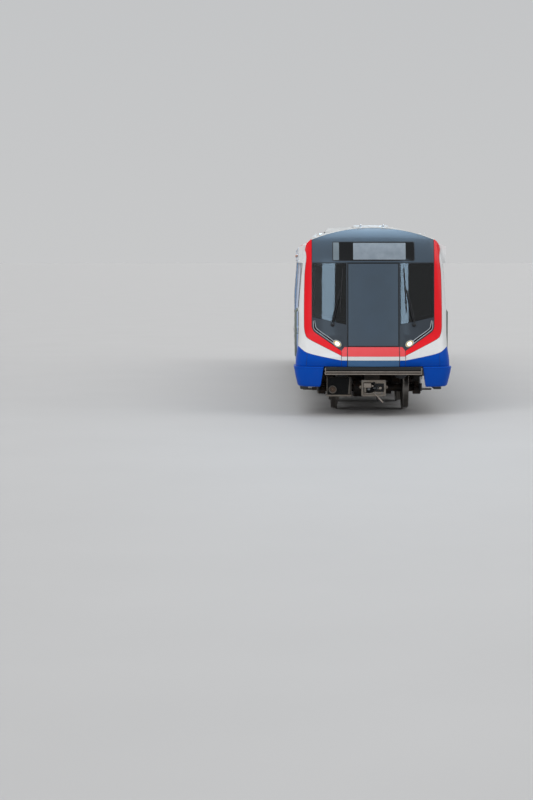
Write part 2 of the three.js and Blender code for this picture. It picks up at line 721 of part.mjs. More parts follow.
function buildWheelsets() {
  const half = [
    // along the axle, radius
    [738, AXLE_RADIUS],
    [738, 372],
    [WHEEL_BACK_X, 372],
    [WHEEL_BACK_X, 442],
    [WHEEL_BACK_X + 10, FLANGE_RADIUS],
    [WHEEL_BACK_X + 24, FLANGE_RADIUS],
    [WHEEL_BACK_X + 36, TREAD_RADIUS + 3],
    [815, TREAD_RADIUS - 1],
    [815, 372],
    [768, 372],
    [768, JOURNAL_RADIUS],
    [1060, JOURNAL_RADIUS],
    [1060, 0],
  ];
  const right = half.map(([x, r]) => new THREE.Vector2(r, x));
  const left = half.map(([x, r]) => new THREE.Vector2(r, -x)).reverse();
  for (const [place, bogieY] of Object.entries(BOGIE_Y)) {
    for (const [handName, hand] of [['leading', -1], ['trailing', 1]]) {
      const geometry = new THREE.LatheGeometry([...left, ...right], WHEEL_SEGMENTS);
      geometry.rotateY(Math.PI / WHEEL_SEGMENTS);
      geometry.rotateZ(-Math.PI / 2);
      geometry.translate(0, bogieY + hand * HALF_WHEELBASE, AXLE_Z);
      addNode(`wheelset_${place}_${handName}`, 'steel', solidOf(geometry));
    }
  }
}

function boreRadius(radius, gap) {
  return (radius + gap) / Math.cos(Math.PI / WHEEL_SEGMENTS);
}

const AXLE_BOX_RADIUS = 135;
const AIR_SPRING = { radius: 250, z0: 635, z1: SOLE_BOTTOM_Z - 0.5 };
const SHOE_GEAR = [
  // from, to the side; half length; bottom, top
  [955, 1045, 80, 320, 450],
  [990, 1200, 60, 320, 380],
  [1190, 1400, 110, 330, 352],
];
const MOTOR = { radius: 215, length: 640, x: 180, y: 430, z: 480 };
const GEAR_CASE = { radius: 190, width: 200, x: 235 };

function bogieSide(side) {
  const x0 = side * BEAM_X - BEAM_HALF_WIDTH;
  const x1 = side * BEAM_X + BEAM_HALF_WIDTH;
  const beam = [
    // along the bogie, height
    [-1330, 600], [-1330, 720], [-900, 720], [-550, 640], [550, 640], [900, 720],
    [1330, 720], [1330, 600], [880, 600], [600, 440], [-600, 440], [-880, 600],
  ];
  const parts = [prismX(beam, x0, x1)];
  for (const end of [-1, 1]) {
    const y = end * HALF_WHEELBASE;
    parts.push(cylinder('x', AXLE_BOX_RADIUS, 150, 16, side * BEAM_X, y, AXLE_Z));
    parts.push(box(x0 + 10, x1 - 10, y - 70, y + 70, AXLE_Z + 100, 610));
  }
  const { radius, z0, z1 } = AIR_SPRING;
  parts.push(cylinder('z', radius, z1 - z0, 20, side * BEAM_X, 0, (z0 + z1) / 2));
  for (const [near, far, half, bottom, top] of SHOE_GEAR) {
    parts.push(sideBox(side, near, far, -half, half, bottom, top));
  }
  return join(parts);
}

function buildBogieFrames() {
  const bore = boreRadius(JOURNAL_RADIUS, JOURNAL_CLEARANCE);
  const gearBore = boreRadius(AXLE_RADIUS, 6);
  const parts = [bogieSide(-1), bogieSide(1), box(-950, 950, -220, 220, 470, 640)];
  for (const end of [-1, 1]) {
    parts.push(cylinder('x', MOTOR.radius, MOTOR.length, 20, end * -MOTOR.x, end * MOTOR.y, MOTOR.z));
    const arm = [...span(end, 135, 335), ...span(end, 380, HALF_WHEELBASE - 60)];
    parts.push(box(...arm, 400, 560));
    const y = end * HALF_WHEELBASE;
    parts.push(cylinder('x', GEAR_CASE.radius, GEAR_CASE.width, 16, end * GEAR_CASE.x, y, AXLE_Z));
  }
  let frame = join(parts);
  for (const end of [-1, 1]) {
    const y = end * HALF_WHEELBASE;
    frame = frame.subtract(cylinder('x', bore, 2 * 1062, WHEEL_SEGMENTS, 0, y, AXLE_Z));
    frame = frame.subtract(cylinder('x', gearBore, 1000, WHEEL_SEGMENTS, 0, y, AXLE_Z));
  }
  for (const [place, y] of Object.entries(BOGIE_Y)) {
    addNode(`bogie_frame_${place}`, 'steel', frame.translate([0, y, 0]));
  }
}

function buildUnderfloorBoxes() {
  const boxes = [
    // name, from y, to y, half width, bottom
    ['traction_inverter', -5200, -2700, 1380, 430],
    ['brake_resistor', -2450, -1050, 1300, 520],
    ['auxiliary_converter', -800, 1900, 1380, 430],
    ['battery_box', 2200, 4900, 1340, 470],
  ];
  for (const [name, y0, y1, halfWidth, bottom] of boxes) {
    const top = SOLE_BOTTOM_Z - FIT;
    const section = [
      [-halfWidth, bottom + 120], [-halfWidth, top], [halfWidth, top],
      [halfWidth, bottom + 120], [halfWidth - 120, bottom], [-halfWidth + 120, bottom],
    ];
    addNode(name, 'grey', prismY(section, y0, y1));
  }
}

// Inside

const PARTITION_Y = -8200;
const PARTITION_THICKNESS = 60;
const PARTITION_DOOR_HALF_WIDTH = 350;
const PARTITION_DOOR_TOP_Z = 3100;

function buildPartition() {
  const inside = (z) => wallX(z) - WALL_THICKNESS - FIT;
  const right = [
    [inside(FLOOR_Z), FLOOR_Z + FIT],
    [inside(WAIST_Z), WAIST_Z],
    [inside(CANTRAIL_Z) - 1, CANTRAIL_Z],
    [inside(CANTRAIL_Z) - 1, CEILING_Z - FIT],
  ];
  const left = right.map(([x, z]) => [-x, z]).reverse();
  const doorway = box(
    -PARTITION_DOOR_HALF_WIDTH, PARTITION_DOOR_HALF_WIDTH,
    PARTITION_Y - 50, PARTITION_Y + 150, FLOOR_Z - 50, PARTITION_DOOR_TOP_Z,
  );
  const face = PARTITION_Y + PARTITION_THICKNESS;
  let wall = prismY([...right, ...left], PARTITION_Y, face).subtract(doorway);
  let leaf = box(
    -PARTITION_DOOR_HALF_WIDTH + 8, PARTITION_DOOR_HALF_WIDTH - 8,
    face - 40, face, FLOOR_Z + 6, PARTITION_DOOR_TOP_Z - 6,
  );
  leaf = leaf.subtract(box(-180, 180, PARTITION_Y, face + 20, 2150, 2800));
  const hingeX = PARTITION_DOOR_HALF_WIDTH - 4;
  const hingeY = face + 8;
  const knuckle = (z0, z1) => cylinder('z', 8, z1 - z0, 12, hingeX, hingeY, (z0 + z1) / 2);
  for (const z of [1450, 2750]) {
    const leafLug = box(hingeX - 24, hingeX, face - 20, hingeY + 7, z, z + 100);
    const wallLug = box(hingeX, hingeX + 24, face - 20, hingeY + 7, z + 100.4, z + 200);
    leaf = join([leaf, leafLug, knuckle(z, z + 100)]);
    wall = join([wall, wallLug, knuckle(z + 100.4, z + 200)]);
  }
  addNode('cab_partition', 'lining', wall);
  addNode('partition_door', 'lining', leaf);
}

function buildCabFittings() {
  const desk = prismX(
    [
      [-10380, FLOOR_Z + FIT], [-10380, 2010], [-10200, 2010], [-9850, 1930],
      [-9800, 1880], [-9800, 1820], [-9980, 1780], [-10050, FLOOR_Z + FIT],
    ],
    -1290, -560,
  );
  const room = noseLoft([FLOOR_Z, WAIST_Z, CANTRAIL_Z], NOSE_WALL + 5, false);
  addNode('cab_desk', 'black', desk.intersect(room));
  const seat = { x: -570, y: -9430, halfWidth: 230, z: 1540 };
  const back = [[-9300, 1600], [-9200, 1600], [-9130, 2360], [-9210, 2360]];
  const parts = [
    cylinder('z', 130, 60, 16, seat.x, seat.y, FLOOR_Z + FIT + 30),
    cylinder('z', 55, 340, 12, seat.x, seat.y, FLOOR_Z + 200),
    box(seat.x - seat.halfWidth, seat.x + seat.halfWidth, -9680, -9230, seat.z, seat.z + 110),
    prismX(back, seat.x - seat.halfWidth + 10, seat.x + seat.halfWidth - 10),
  ];
  addNode('driver_seat', 'seat', join(parts));
}

function buildBenches() {
  const halfLength = 1560;
  for (const [sideName, side] of Object.entries(SIDES)) {
    const wallFace = WALL_HALF_WIDTH - WALL_THICKNESS - 1;
    const section = [
      [side * wallFace, FLOOR_Z + FIT],
      [side * wallFace, 1960],
      [side * (wallFace - 60), 1960],
      [side * (wallFace - 100), 1650],
      [side * (wallFace - 470), 1640],
      [side * (wallFace - 480), 1560],
      [side * (wallFace - 380), 1540],
      [side * (wallFace - 380), FLOOR_Z + FIT],
    ];
    for (const [number, y] of Object.entries(BAY_Y)) {
      addNode(`bench_${sideName}_${number}`, 'seat', prismY(section, y - halfLength, y + halfLength));
    }
  }
}

function buildHandrails() {
  const railZ = 3050;
  const y0 = -7700;
  const y1 = 10100;
  const hangers = 10;
  for (const [sideName, side] of Object.entries(SIDES)) {
    const x = side * 700;
    const parts = [cylinder('y', 17, y1 - y0, 8, x, (y0 + y1) / 2, railZ)];
    for (let i = 0; i < hangers; i += 1) {
      const y = y0 + 60 + ((y1 - y0 - 120) * i) / (hangers - 1);
      const top = CEILING_Z - FIT;
      parts.push(cylinder('z', 15, top - railZ, 8, x, y, (top + railZ) / 2));
    }
    addNode(`handrail_${sideName}`, 'steel', join(parts));
  }
}

function buildWipers() {
  const pivot = { x: 820, z: 1850 };
  const tip = { x: 665, z: 2560 };
  const lean = (tip.x - pivot.x) / (tip.z - pivot.z);
  const glassY = (z) => maskY(z) + BOW_RADIUS - Math.sqrt(BOW_RADIUS ** 2 - 700 ** 2);
  const bladeZ = [2100, 2980];
  const seat = noseOuter.translate([0, -FIT, 0]);
  for (const [sideName, side] of Object.entries(SIDES)) {
    const arm = prismX(
      [
        [glassY(pivot.z) - 75, pivot.z], [glassY(pivot.z) - 95, pivot.z],
        [glassY(tip.z) - 60, tip.z], [glassY(tip.z) - 45, tip.z],
      ],
      -14, 14,
    );
    const shear = side * lean;
    const shift = side * pivot.x - shear * pivot.z;
    const sheared = arm.transform([1, 0, 0, 0, 0, 1, 0, 0, shear, 0, 1, 0, shift, 0, 0, 1]);
    const spindle = cylinder('y', 38, 140, 12, side * pivot.x, glassY(pivot.z) - 26, pivot.z);
    const boss = spindle.subtract(seat);
    const [low, high] = bladeZ;
    const blade = prismX(
      [
        [glassY(low) - 34, low], [glassY(low) - 52, low],
        [glassY(high) - 52, high], [glassY(high) - 34, high],
      ],
      side * tip.x - 12,
      side * tip.x + 12,
    );
    addNode(`wiper_${sideName}`, 'black', join([sheared, boss, blade]));
  }
}

buildUnderframe();
buildSideWalls();
buildRoof();
buildNose();
buildFrontDoor();
buildCabDoors();
buildSaloonDoors();
buildRearEnd();
buildAirConditioning();
buildSkirts();
buildAntiClimber();
buildHornBox();
buildCouplers();
buildWheelsets();
buildBogieFrames();
buildUnderfloorBoxes();
buildPartition();
buildCabFittings();
buildBenches();
buildHandrails();
buildWipers();

export default car;
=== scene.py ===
"""Looks of a metro train's driving car: finishes, glass, trim, running gear and cab front.

Every size is in metres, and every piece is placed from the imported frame.
"""

from functools import partial
from math import asin, atan2, ceil, copysign, cos, hypot, pi, radians, sin, sqrt

import bpy
import bmesh
from bpy.props import FloatProperty, FloatVectorProperty, PointerProperty
from bpy.types import Operator, Panel, PropertyGroup
from mathutils import Matrix, Vector
from mathutils.geometry import delaunay_2d_cdt


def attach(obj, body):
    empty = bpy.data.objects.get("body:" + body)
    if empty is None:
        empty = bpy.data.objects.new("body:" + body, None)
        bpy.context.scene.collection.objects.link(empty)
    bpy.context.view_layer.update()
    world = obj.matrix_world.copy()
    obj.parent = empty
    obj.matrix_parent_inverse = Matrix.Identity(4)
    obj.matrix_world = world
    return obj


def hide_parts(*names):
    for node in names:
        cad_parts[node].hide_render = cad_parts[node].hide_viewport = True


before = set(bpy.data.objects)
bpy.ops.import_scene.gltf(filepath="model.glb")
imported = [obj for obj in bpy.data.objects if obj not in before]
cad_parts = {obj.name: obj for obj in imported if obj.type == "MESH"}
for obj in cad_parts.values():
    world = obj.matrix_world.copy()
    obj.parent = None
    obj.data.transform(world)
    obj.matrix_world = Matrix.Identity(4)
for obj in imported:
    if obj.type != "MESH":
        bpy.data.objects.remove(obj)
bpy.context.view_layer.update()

bl_info = {"name": "Metro driving car", "version": (1, 0, 0), "blender": (4, 5, 0),
    "location": "3D View > Sidebar > Metro car",
    "description": "Dresses the driving car of a metro train with its finishes and trim",
    "category": "Object"}

# Sizes shared with the solids

SIDES = {"left": -1, "right": 1}
UP = (0, 0, 1)
FORWARD = (0, -1, 0)
REARWARD = (0, 1, 0)
FLOOR_Z = 1.19
CEILING_Z = 3.29
SOLE_X = 1.56
SOLE_BOTTOM_Z = 1.01
UNDER_SOLE_Z = 1.0095
SOLE_TOP_Z = 1.13
WALL_X = 1.5
WAIST_Z = 2.18
CANTRAIL_Z = 3.09
CANTRAIL_X = 1.432
ROOF_TOP_Z = 3.82
ROOF_RADIUS = 3.336
NOSE_BACK_Y = -9.7
CHIN_Y = -10.8
CHIN_TOP_Z = 1.215
SHELF_Y = -10.68
SHELF_Z = 1.4
SHELF_HALF_WIDTH = 0.64
MASK_TOP_Z = 3.097
MASK_TOP_Y = -10.456
DOME_LEAN = 0.095
DOME_DEPTH = 0.42
BOW_RADIUS = 4.5
CORNER_RADIUS = 0.26
WINDOW_BOTTOM_Z = 1.99
WINDOW_TOP_Z = 2.89
WINDOW_WIDTH = 1.88
DOORWAY_WIDTH = 1.4
DOORWAY_Y = {1: -6.1, 2: -1.3, 3: 3.5, 4: 8.3}
BAY_Y = {1: -3.7, 2: 1.1, 3: 5.9}
BOGIE_Y = {"front": -7.5, "rear": 7.5}
HALF_WHEELBASE = 1.15
AXLE_Z = 0.453 * cos(pi / 24)

# Sizes of the scene's own pieces

JOINT_Y = (-6.98, -5.22, -2.18, -0.42, 2.62, 4.38, 7.42, 9.18)
COUPLER_Z = 0.58
COUPLER_FACE_Y = -10.86
REAR_WALL_Y = 10.6
UNIT_TOP_Z = 3.878
LEAF_FACE = 0.046  # a door leaf's outer face, from the wall's
LAMP_CENTRE = (0.726, 1.472)
LAMP_TILT = radians(-32)


def linear(hex_colour):
    """sRGB hex colour as linear red, green, blue and alpha."""
    digits = hex_colour.lstrip("#")
    channels = [int(digits[i:i + 2], 16) / 255 for i in (0, 2, 4)]
    return tuple(c / 12.92 if c <= 0.04045 else ((c + 0.055) / 1.055) ** 2.4 for c in channels) + (1.0,)


# Settings that a user would change

class LiveryColours(PropertyGroup):
    white: FloatVectorProperty(name="White", description="Paint of the front's outer band", subtype="COLOR",
        size=4, min=0, max=1, default=linear("#dcdddd"))
    red: FloatVectorProperty(name="Red", description="Paint of the band round the mask", subtype="COLOR",
        size=4, min=0, max=1, default=linear("#e2001a"))
    blue: FloatVectorProperty(name="Blue", description="Paint of the chin and the corner skirts",
        subtype="COLOR", size=4, min=0, max=1, default=linear("#0049ac"))
    slate: FloatVectorProperty(name="Slate", description="Paint of the dome and the front door",
        subtype="COLOR", size=4, min=0, max=1, default=linear("#404f5e"))
    silver: FloatVectorProperty(name="Silver", description="Ground colour of the sides", subtype="COLOR",
        size=4, min=0, max=1, default=linear("#c3c5d0"))
    film_blue: FloatVectorProperty(name="Film blue", description="Soft fields printed on the side film",
        subtype="COLOR", size=4, min=0, max=1, default=linear("#3f8fd0"))


class TrimSizes(PropertyGroup):
    panel_lift: FloatProperty(name="Panel lift", description="How far the nose's panels stand off its body",
        default=0.004, min=0.001, max=0.01, unit="LENGTH")
    seam: FloatProperty(name="Seam", description="Gap between two panels of the nose", default=0.007,
        min=0.002, max=0.03, unit="LENGTH")
    gasket: FloatProperty(name="Gasket", description="Width of the rubber round a side window", default=0.026,
        min=0.005, max=0.08, unit="LENGTH")
    pane: FloatProperty(name="Pane", description="Thickness of a glass pane", default=0.005, min=0.002,
        max=0.02, unit="LENGTH")
    pole: FloatProperty(name="Pole", description="Radius of the saloon's poles", default=0.017, min=0.01,
        max=0.03, unit="LENGTH")


class StageSettings(PropertyGroup):
    lens: FloatProperty(name="Lens", description="Focal length of the camera, in millimetres", default=85.5,
        min=20, max=200, unit="CAMERA")
    brightness: FloatProperty(name="Brightness", description="Strength of the soft light all round",
        default=0.62, min=0, max=5, subtype="FACTOR")


# Finishes

DUST = "#8d867b"

# Sockets of a Mix node for colours: the share of the second colour, and the two colours
SHARE = 0
UNDER = 6
OVER = 7


def add(tree, kind, settings=None, links=None):
    """Adds one shader node with its settings and links. The operation of a Math node follows its kind, every
    Mix node mixes colours, a colour may be a hex value, and a link may name a node for its first live
    output."""
    kind, _, operation = kind.partition(" ")
    made = tree.nodes.new("ShaderNode" + kind)
    if operation:
        made.operation = operation
    if kind == "Mix":
        made.data_type = "RGBA"
    for key, value in (settings or {}).items():
        if isinstance(key, str) and key.islower():
            setattr(made, key, value)
        else:
            made.inputs[key].default_value = linear(value) if isinstance(value, str) else value
    for key, source in (links or {}).items():
        if isinstance(source, bpy.types.Node):
            source = next(socket for socket in source.outputs if socket.enabled)
        tree.links.new(source, made.inputs[key])
    return made


def new_tree(name):
    """New material, the function that adds nodes to its empty tree, and the place on the object."""
    material = bpy.data.materials.new(name)
    material.use_nodes = True
    material.node_tree.nodes.clear()
    node = partial(add, material.node_tree)
    return material, node, node("TexCoord").outputs["Object"]


def per_metre(millimetres):
    """Scale of a noise whose cells are this wide."""
    return 1000 / millimetres


def sprayed_paint(name, colour, shade, roughness, coat=0.2, dust_top=1.9, dust=0.2, gloss=0.3):
    """Sprayed gloss paint: mottle in 420 mm clouds, 14 mm ripple, road dust in streaks lower down."""
    material, node, where = new_tree(name)
    parts = node("SeparateXYZ", links={"Vector": where})
    mottle = node("TexNoise", {"Scale": per_metre(420), "Detail": 5.0}, {"Vector": where})
    paint = node("Mix", {UNDER: colour, OVER: shade}, {SHARE: mottle})
    low = node("MapRange", {"interpolation_type": "SMOOTHSTEP", "From Min": 0.6, "From Max": dust_top,
        "To Min": dust, "To Max": 0.0}, {"Value": parts.outputs["Z"]})
    runs = node("Mapping", {"Scale": (1.0, 1.0, 0.22)}, {"Vector": where})
    streaks = node("TexNoise", {"Scale": per_metre(130), "Detail": 6.0}, {"Vector": runs})
    film = node("Math MULTIPLY", links={0: low, 1: streaks})
    dusty = node("Mix", {OVER: DUST}, {SHARE: film, UNDER: paint})
    rough = node("Math MULTIPLY_ADD", {1: 0.6, 2: roughness}, {0: film})
    ripple = node("TexNoise", {"Scale": per_metre(14), "Detail": 2.0}, {"Vector": where})
    peel = node("Bump", {"Distance": 0.0005, "Strength": 0.2}, {"Height": ripple})
    shader = node("BsdfPrincipled", {"IOR": 1.5, "Specular IOR Level": gloss, "Coat Weight": coat,
        "Coat Roughness": 0.1}, {"Base Color": dusty, "Roughness": rough, "Normal": peel})
    node("OutputMaterial", links={"Surface": shader})
    return material


def weathered_steel(name, colour, rust, metallic, roughness, grain, rust_share):
    """Cast or painted steel outdoors: rust bloom in 120 mm patches over a sandy grain, brake dust in it."""
    material, node, where = new_tree(name)
    cloud = node("TexNoise", {"Scale": per_metre(120), "Detail": 6.0}, {"Vector": where})
    patches = node("MapRange", {"From Min": 0.42, "From Max": 0.68, "To Max": rust_share}, {"Value": cloud})
    fine = node("TexNoise", {"Scale": per_metre(grain), "Detail": 3.0}, {"Vector": where})
    base = node("Mix", {UNDER: colour, OVER: rust}, {SHARE: patches})
    depth = node("Math MULTIPLY", {1: 0.45}, {0: fine})
    shade = node("Mix", {OVER: "#0b0a09"}, {SHARE: depth, UNDER: base})
    rough = node("Math MULTIPLY_ADD", {1: 0.35, 2: roughness}, {0: patches})
    pits = node("Bump", {"Distance": 0.0015, "Strength": 0.5}, {"Height": fine})
    shader = node("BsdfPrincipled", {"Metallic": metallic}, {"Base Color": shade, "Roughness": rough,
        "Normal": pits})
    node("OutputMaterial", links={"Surface": shader})
    return material


def moulded(name, colour, worn, roughness, grain=4.0, sheen=0.0):
    """Moulded plastic, rubber or woven cover: fine grain, with paler clouds where it is handled."""
    material, node, where = new_tree(name)
    cloud = node("TexNoise", {"Scale": per_metre(160), "Detail": 4.0}, {"Vector": where})
    tint = node("Mix", {UNDER: colour, OVER: worn}, {SHARE: cloud})
    rough = node("Math MULTIPLY_ADD", {1: 0.15, 2: roughness}, {0: cloud})
    fine = node("TexNoise", {"Scale": per_metre(grain), "Detail": 2.0}, {"Vector": where})
    skin = node("Bump", {"Distance": 0.0004, "Strength": 0.4}, {"Height": fine})
    shader = node("BsdfPrincipled", {"IOR": 1.5, "Sheen Weight": sheen},
        {"Base Color": tint, "Roughness": rough, "Normal": skin})
    node("OutputMaterial", links={"Surface": shader})
    return material


def brushed_metal(name, colour, bright, roughness, along):
    """Brushed stainless steel: 3 mm lines drawn coarser than the real 0.1 mm so that they show."""
    material, node, where = new_tree(name)
    stretch = node("Mapping", {"Scale": along}, {"Vector": where})
    lines = node("TexNoise", {"Scale": per_metre(3), "Detail": 3.0}, {"Vector": stretch})
    tint = node("Mix", {UNDER: colour, OVER: bright}, {SHARE: lines})
    rough = node("Math MULTIPLY_ADD", {1: 0.2, 2: roughness}, {0: lines})
    shader = node("BsdfPrincipled", {"Metallic": 1.0, "Anisotropic": 0.4},
        {"Base Color": tint, "Roughness": rough})
    node("OutputMaterial", links={"Surface": shader})
    return material


def float_glass(name, colour, dust, roughness, transmission=1.0, gloss=0.5):
    """Tinted float glass: clear body, with a thin film of dust in 300 mm clouds."""
    material, node, where = new_tree(name)
    cloud = node("TexNoise", {"Scale": per_metre(300), "Detail": 5.0}, {"Vector": where})
    share = node("Math MULTIPLY", {1: 0.3}, {0: cloud})
    tint = node("Mix", {UNDER: colour, OVER: dust}, {SHARE: share})
    rough = node("Math MULTIPLY_ADD", {1: 0.05, 2: roughness}, {0: cloud})
    shader = node("BsdfPrincipled", {"IOR": 1.45, "Specular IOR Level": gloss,
        "Transmission Weight": transmission}, {"Base Color": tint, "Roughness": rough})
    node("OutputMaterial", links={"Surface": shader})
    return material


def lit_plastic(name, colour, bright, strength, cell):
    """Lit diffuser or lens: an even glow that is a little brighter over each light source behind it."""
    material, node, where = new_tree(name)
    spots = node("TexNoise", {"Scale": per_metre(cell), "Detail": 1.0}, {"Vector": where})
    glow = node("Mix", {UNDER: colour, OVER: bright}, {SHARE: spots})
    shader = node("BsdfPrincipled", {"Roughness": 0.3, "Emission Strength": strength},
        {"Base Color": glow, "Emission Color": glow})
    node("OutputMaterial", links={"Surface": shader})
    return material


def printed_side_film(name, silver, film_blue, white, blue):
    """Silver paint under printed film: soft blue fields metres long, white by the cab, grime low down."""
    material, node, where = new_tree(name)
    parts = node("SeparateXYZ", links={"Vector": where})
    long_way = node("Mapping", {"Scale": (0.1, 1.0, 0.55)}, {"Vector": where})
    fields = node("TexNoise", {"Scale": per_metre(3600), "Detail": 1.5}, {"Vector": long_way})
    wash = node("MapRange", {"interpolation_type": "SMOOTHSTEP", "From Min": 0.5, "From Max": 0.66,
        "To Max": 0.9}, {"Value": fields})
    deep = node("MapRange", {"From Min": 1.2, "From Max": 3.1, "To Max": 0.55}, {"Value": parts.outputs["Z"]})
    sky = node("Mix", {UNDER: film_blue, OVER: "#a9cdea"}, {SHARE: deep})
    clouds = node("TexNoise", {"Scale": per_metre(800), "Detail": 4.0}, {"Vector": where})
    ground = node("Mix", {UNDER: silver, OVER: "#d3d5dc"}, {SHARE: clouds})
    film = node("Mix", links={SHARE: wash, UNDER: ground, OVER: sky})
    # the cab's share of the wall is painted, with the blue band at its foot
    by_cab = node("Math LESS_THAN", {1: -8.84}, {0: parts.outputs["Y"]})
    foot = node("Math LESS_THAN", {1: 1.421}, {0: parts.outputs["Z"]})
    cab_paint = node("Mix", {UNDER: white, OVER: blue}, {SHARE: foot})
    cab = node("Mix", links={SHARE: by_cab, UNDER: film, OVER: cab_paint})
    # faces that look inward are lining
    turn = node("TexCoord").outputs["Normal"]
    facing = node("SeparateXYZ", links={"Vector": turn})
    outward = node("Math MULTIPLY", links={0: parts.outputs["X"], 1: facing.outputs["X"]})
    inside = node("Math LESS_THAN", {1: -0.5}, {0: outward})
    lined = node("Mix", {OVER: "#c9cac7"}, {SHARE: inside, UNDER: cab})
    low = node("MapRange", {"interpolation_type": "SMOOTHSTEP", "From Min": 1.1, "From Max": 1.75,
        "To Min": 0.5, "To Max": 0.0}, {"Value": parts.outputs["Z"]})
    runs = node("Mapping", {"Scale": (1.0, 1.0, 0.15)}, {"Vector": where})
    streaks = node("TexNoise", {"Scale": per_metre(140), "Detail": 6.0}, {"Vector": runs})
    grime = node("Math MULTIPLY", links={0: low, 1: streaks})
    dirty = node("Mix", {OVER: "#7c766d"}, {SHARE: grime, UNDER: lined})
    rough = node("Math MULTIPLY_ADD", {1: 0.15, 2: 0.24}, {0: streaks})
    shader = node("BsdfPrincipled", {"Specular IOR Level": 0.35, "Coat Weight": 0.2, "Coat Roughness": 0.12},
        {"Base Color": dirty, "Roughness": rough})
    node("OutputMaterial", links={"Surface": shader})
    return material


def roof_coating(name):
    """Thick white roof coating: rain streaks of soot, and the two thin red stripes along the cove."""
    material, node, where = new_tree(name)
    parts = node("SeparateXYZ", links={"Vector": where})
    runs = node("Mapping", {"Scale": (0.4, 1.0, 0.4)}, {"Vector": where})
    streaks = node("TexNoise", {"Scale": per_metre(240), "Detail": 6.0}, {"Vector": runs})
    soot = node("MapRange", {"From Min": 0.5, "From Max": 0.8, "To Max": 0.55}, {"Value": streaks})
    white = node("Mix", {UNDER: "#e6e5e2", OVER: "#8f8b84"}, {SHARE: soot})
    # two stripes: height of the middle, half the width
    wide = node("Math COMPARE", {1: 3.447, 2: 0.013}, {0: parts.outputs["Z"]})
    thin = node("Math COMPARE", {1: 3.5, 2: 0.006}, {0: parts.outputs["Z"]})
    both = node("Math MAXIMUM", links={0: wide, 1: thin})
    striped = node("Mix", {OVER: "#cc2531"}, {SHARE: both, UNDER: white})
    grit = node("TexNoise", {"Scale": per_metre(40), "Detail": 2.0}, {"Vector": where})
    skin = node("Bump", {"Distance": 0.001, "Strength": 0.3}, {"Height": grit})
    shader = node("BsdfPrincipled", {"Roughness": 0.5}, {"Base Color": striped, "Normal": skin})
    node("OutputMaterial", links={"Surface": shader})
    return material


def nose_laminate(name, white):
    """Glass-fibre nose body: white gel coat outside at the back, dark sealer under the panels and inside."""
    material, node, where = new_tree(name)
    parts = node("SeparateXYZ", links={"Vector": where})
    across = node("Math ABSOLUTE", links={0: parts.outputs["X"]})
    # the shoulders over the cab doors, back from the mask
    wide = node("Math GREATER_THAN", {1: 1.345}, {0: across})
    high = node("Math GREATER_THAN", {1: CANTRAIL_Z - 0.004}, {0: parts.outputs["Z"]})
    back = node("Math GREATER_THAN", {1: -10.2}, {0: parts.outputs["Y"]})
    outer = node("Math MULTIPLY", links={0: wide, 1: high})
    gel = node("Math MULTIPLY", links={0: outer, 1: back})
    cloud = node("TexNoise", {"Scale": per_metre(200), "Detail": 4.0}, {"Vector": where})
    sealer = node("Mix", {UNDER: "#131517", OVER: "#202327"}, {SHARE: cloud})
    both = node("Mix", {OVER: white}, {SHARE: gel, UNDER: sealer})
    fine = node("TexNoise", {"Scale": per_metre(12), "Detail": 2.0}, {"Vector": where})
    skin = node("Bump", {"Distance": 0.0004, "Strength": 0.3}, {"Height": fine})
    shader = node("BsdfPrincipled", {"Roughness": 0.35}, {"Base Color": both, "Normal": skin})
    node("OutputMaterial", links={"Surface": shader})
    return material


def underframe_coating(name):
    """Underframe: pale painted sole outside, speckled rubber floor on top, dark dusty paint beneath."""
    material, node, where = new_tree(name)
    parts = node("SeparateXYZ", links={"Vector": where})
    across = node("Math ABSOLUTE", links={0: parts.outputs["X"]})
    # the sole's outer strip without its bottom face, and the floor's top
    edge = node("Math GREATER_THAN", {1: SOLE_X - 0.14}, {0: across})
    above = node("Math GREATER_THAN", {1: SOLE_BOTTOM_Z + 0.002}, {0: parts.outputs["Z"]})
    sole = node("Math MULTIPLY", links={0: edge, 1: above})
    top = node("Math GREATER_THAN", {1: FLOOR_Z - 0.005}, {0: parts.outputs["Z"]})
    cloud = node("TexNoise", {"Scale": per_metre(140), "Detail": 6.0}, {"Vector": where})
    paint = node("Mix", {UNDER: "#262524", OVER: "#4f4338"}, {SHARE: cloud})
    pale = node("Mix", {UNDER: "#c2c3cb", OVER: "#8b8780"}, {SHARE: cloud})
    outside = node("Mix", links={SHARE: sole, UNDER: paint, OVER: pale})
    fleck = node("TexNoise", {"Scale": per_metre(14), "Detail": 2.0}, {"Vector": where})
    dots = node("MapRange", {"From Min": 0.56, "From Max": 0.6}, {"Value": fleck})
    rubber = node("Mix", {UNDER: "#5b6068", OVER: "#90959c"}, {SHARE: dots})
    whole = node("Mix", links={SHARE: top, UNDER: outside, OVER: rubber})
    skin = node("Bump", {"Distance": 0.0006, "Strength": 0.4}, {"Height": fleck})
    shader = node("BsdfPrincipled", {"Roughness": 0.55}, {"Base Color": whole, "Normal": skin})
    node("OutputMaterial", links={"Surface": shader})
    return material


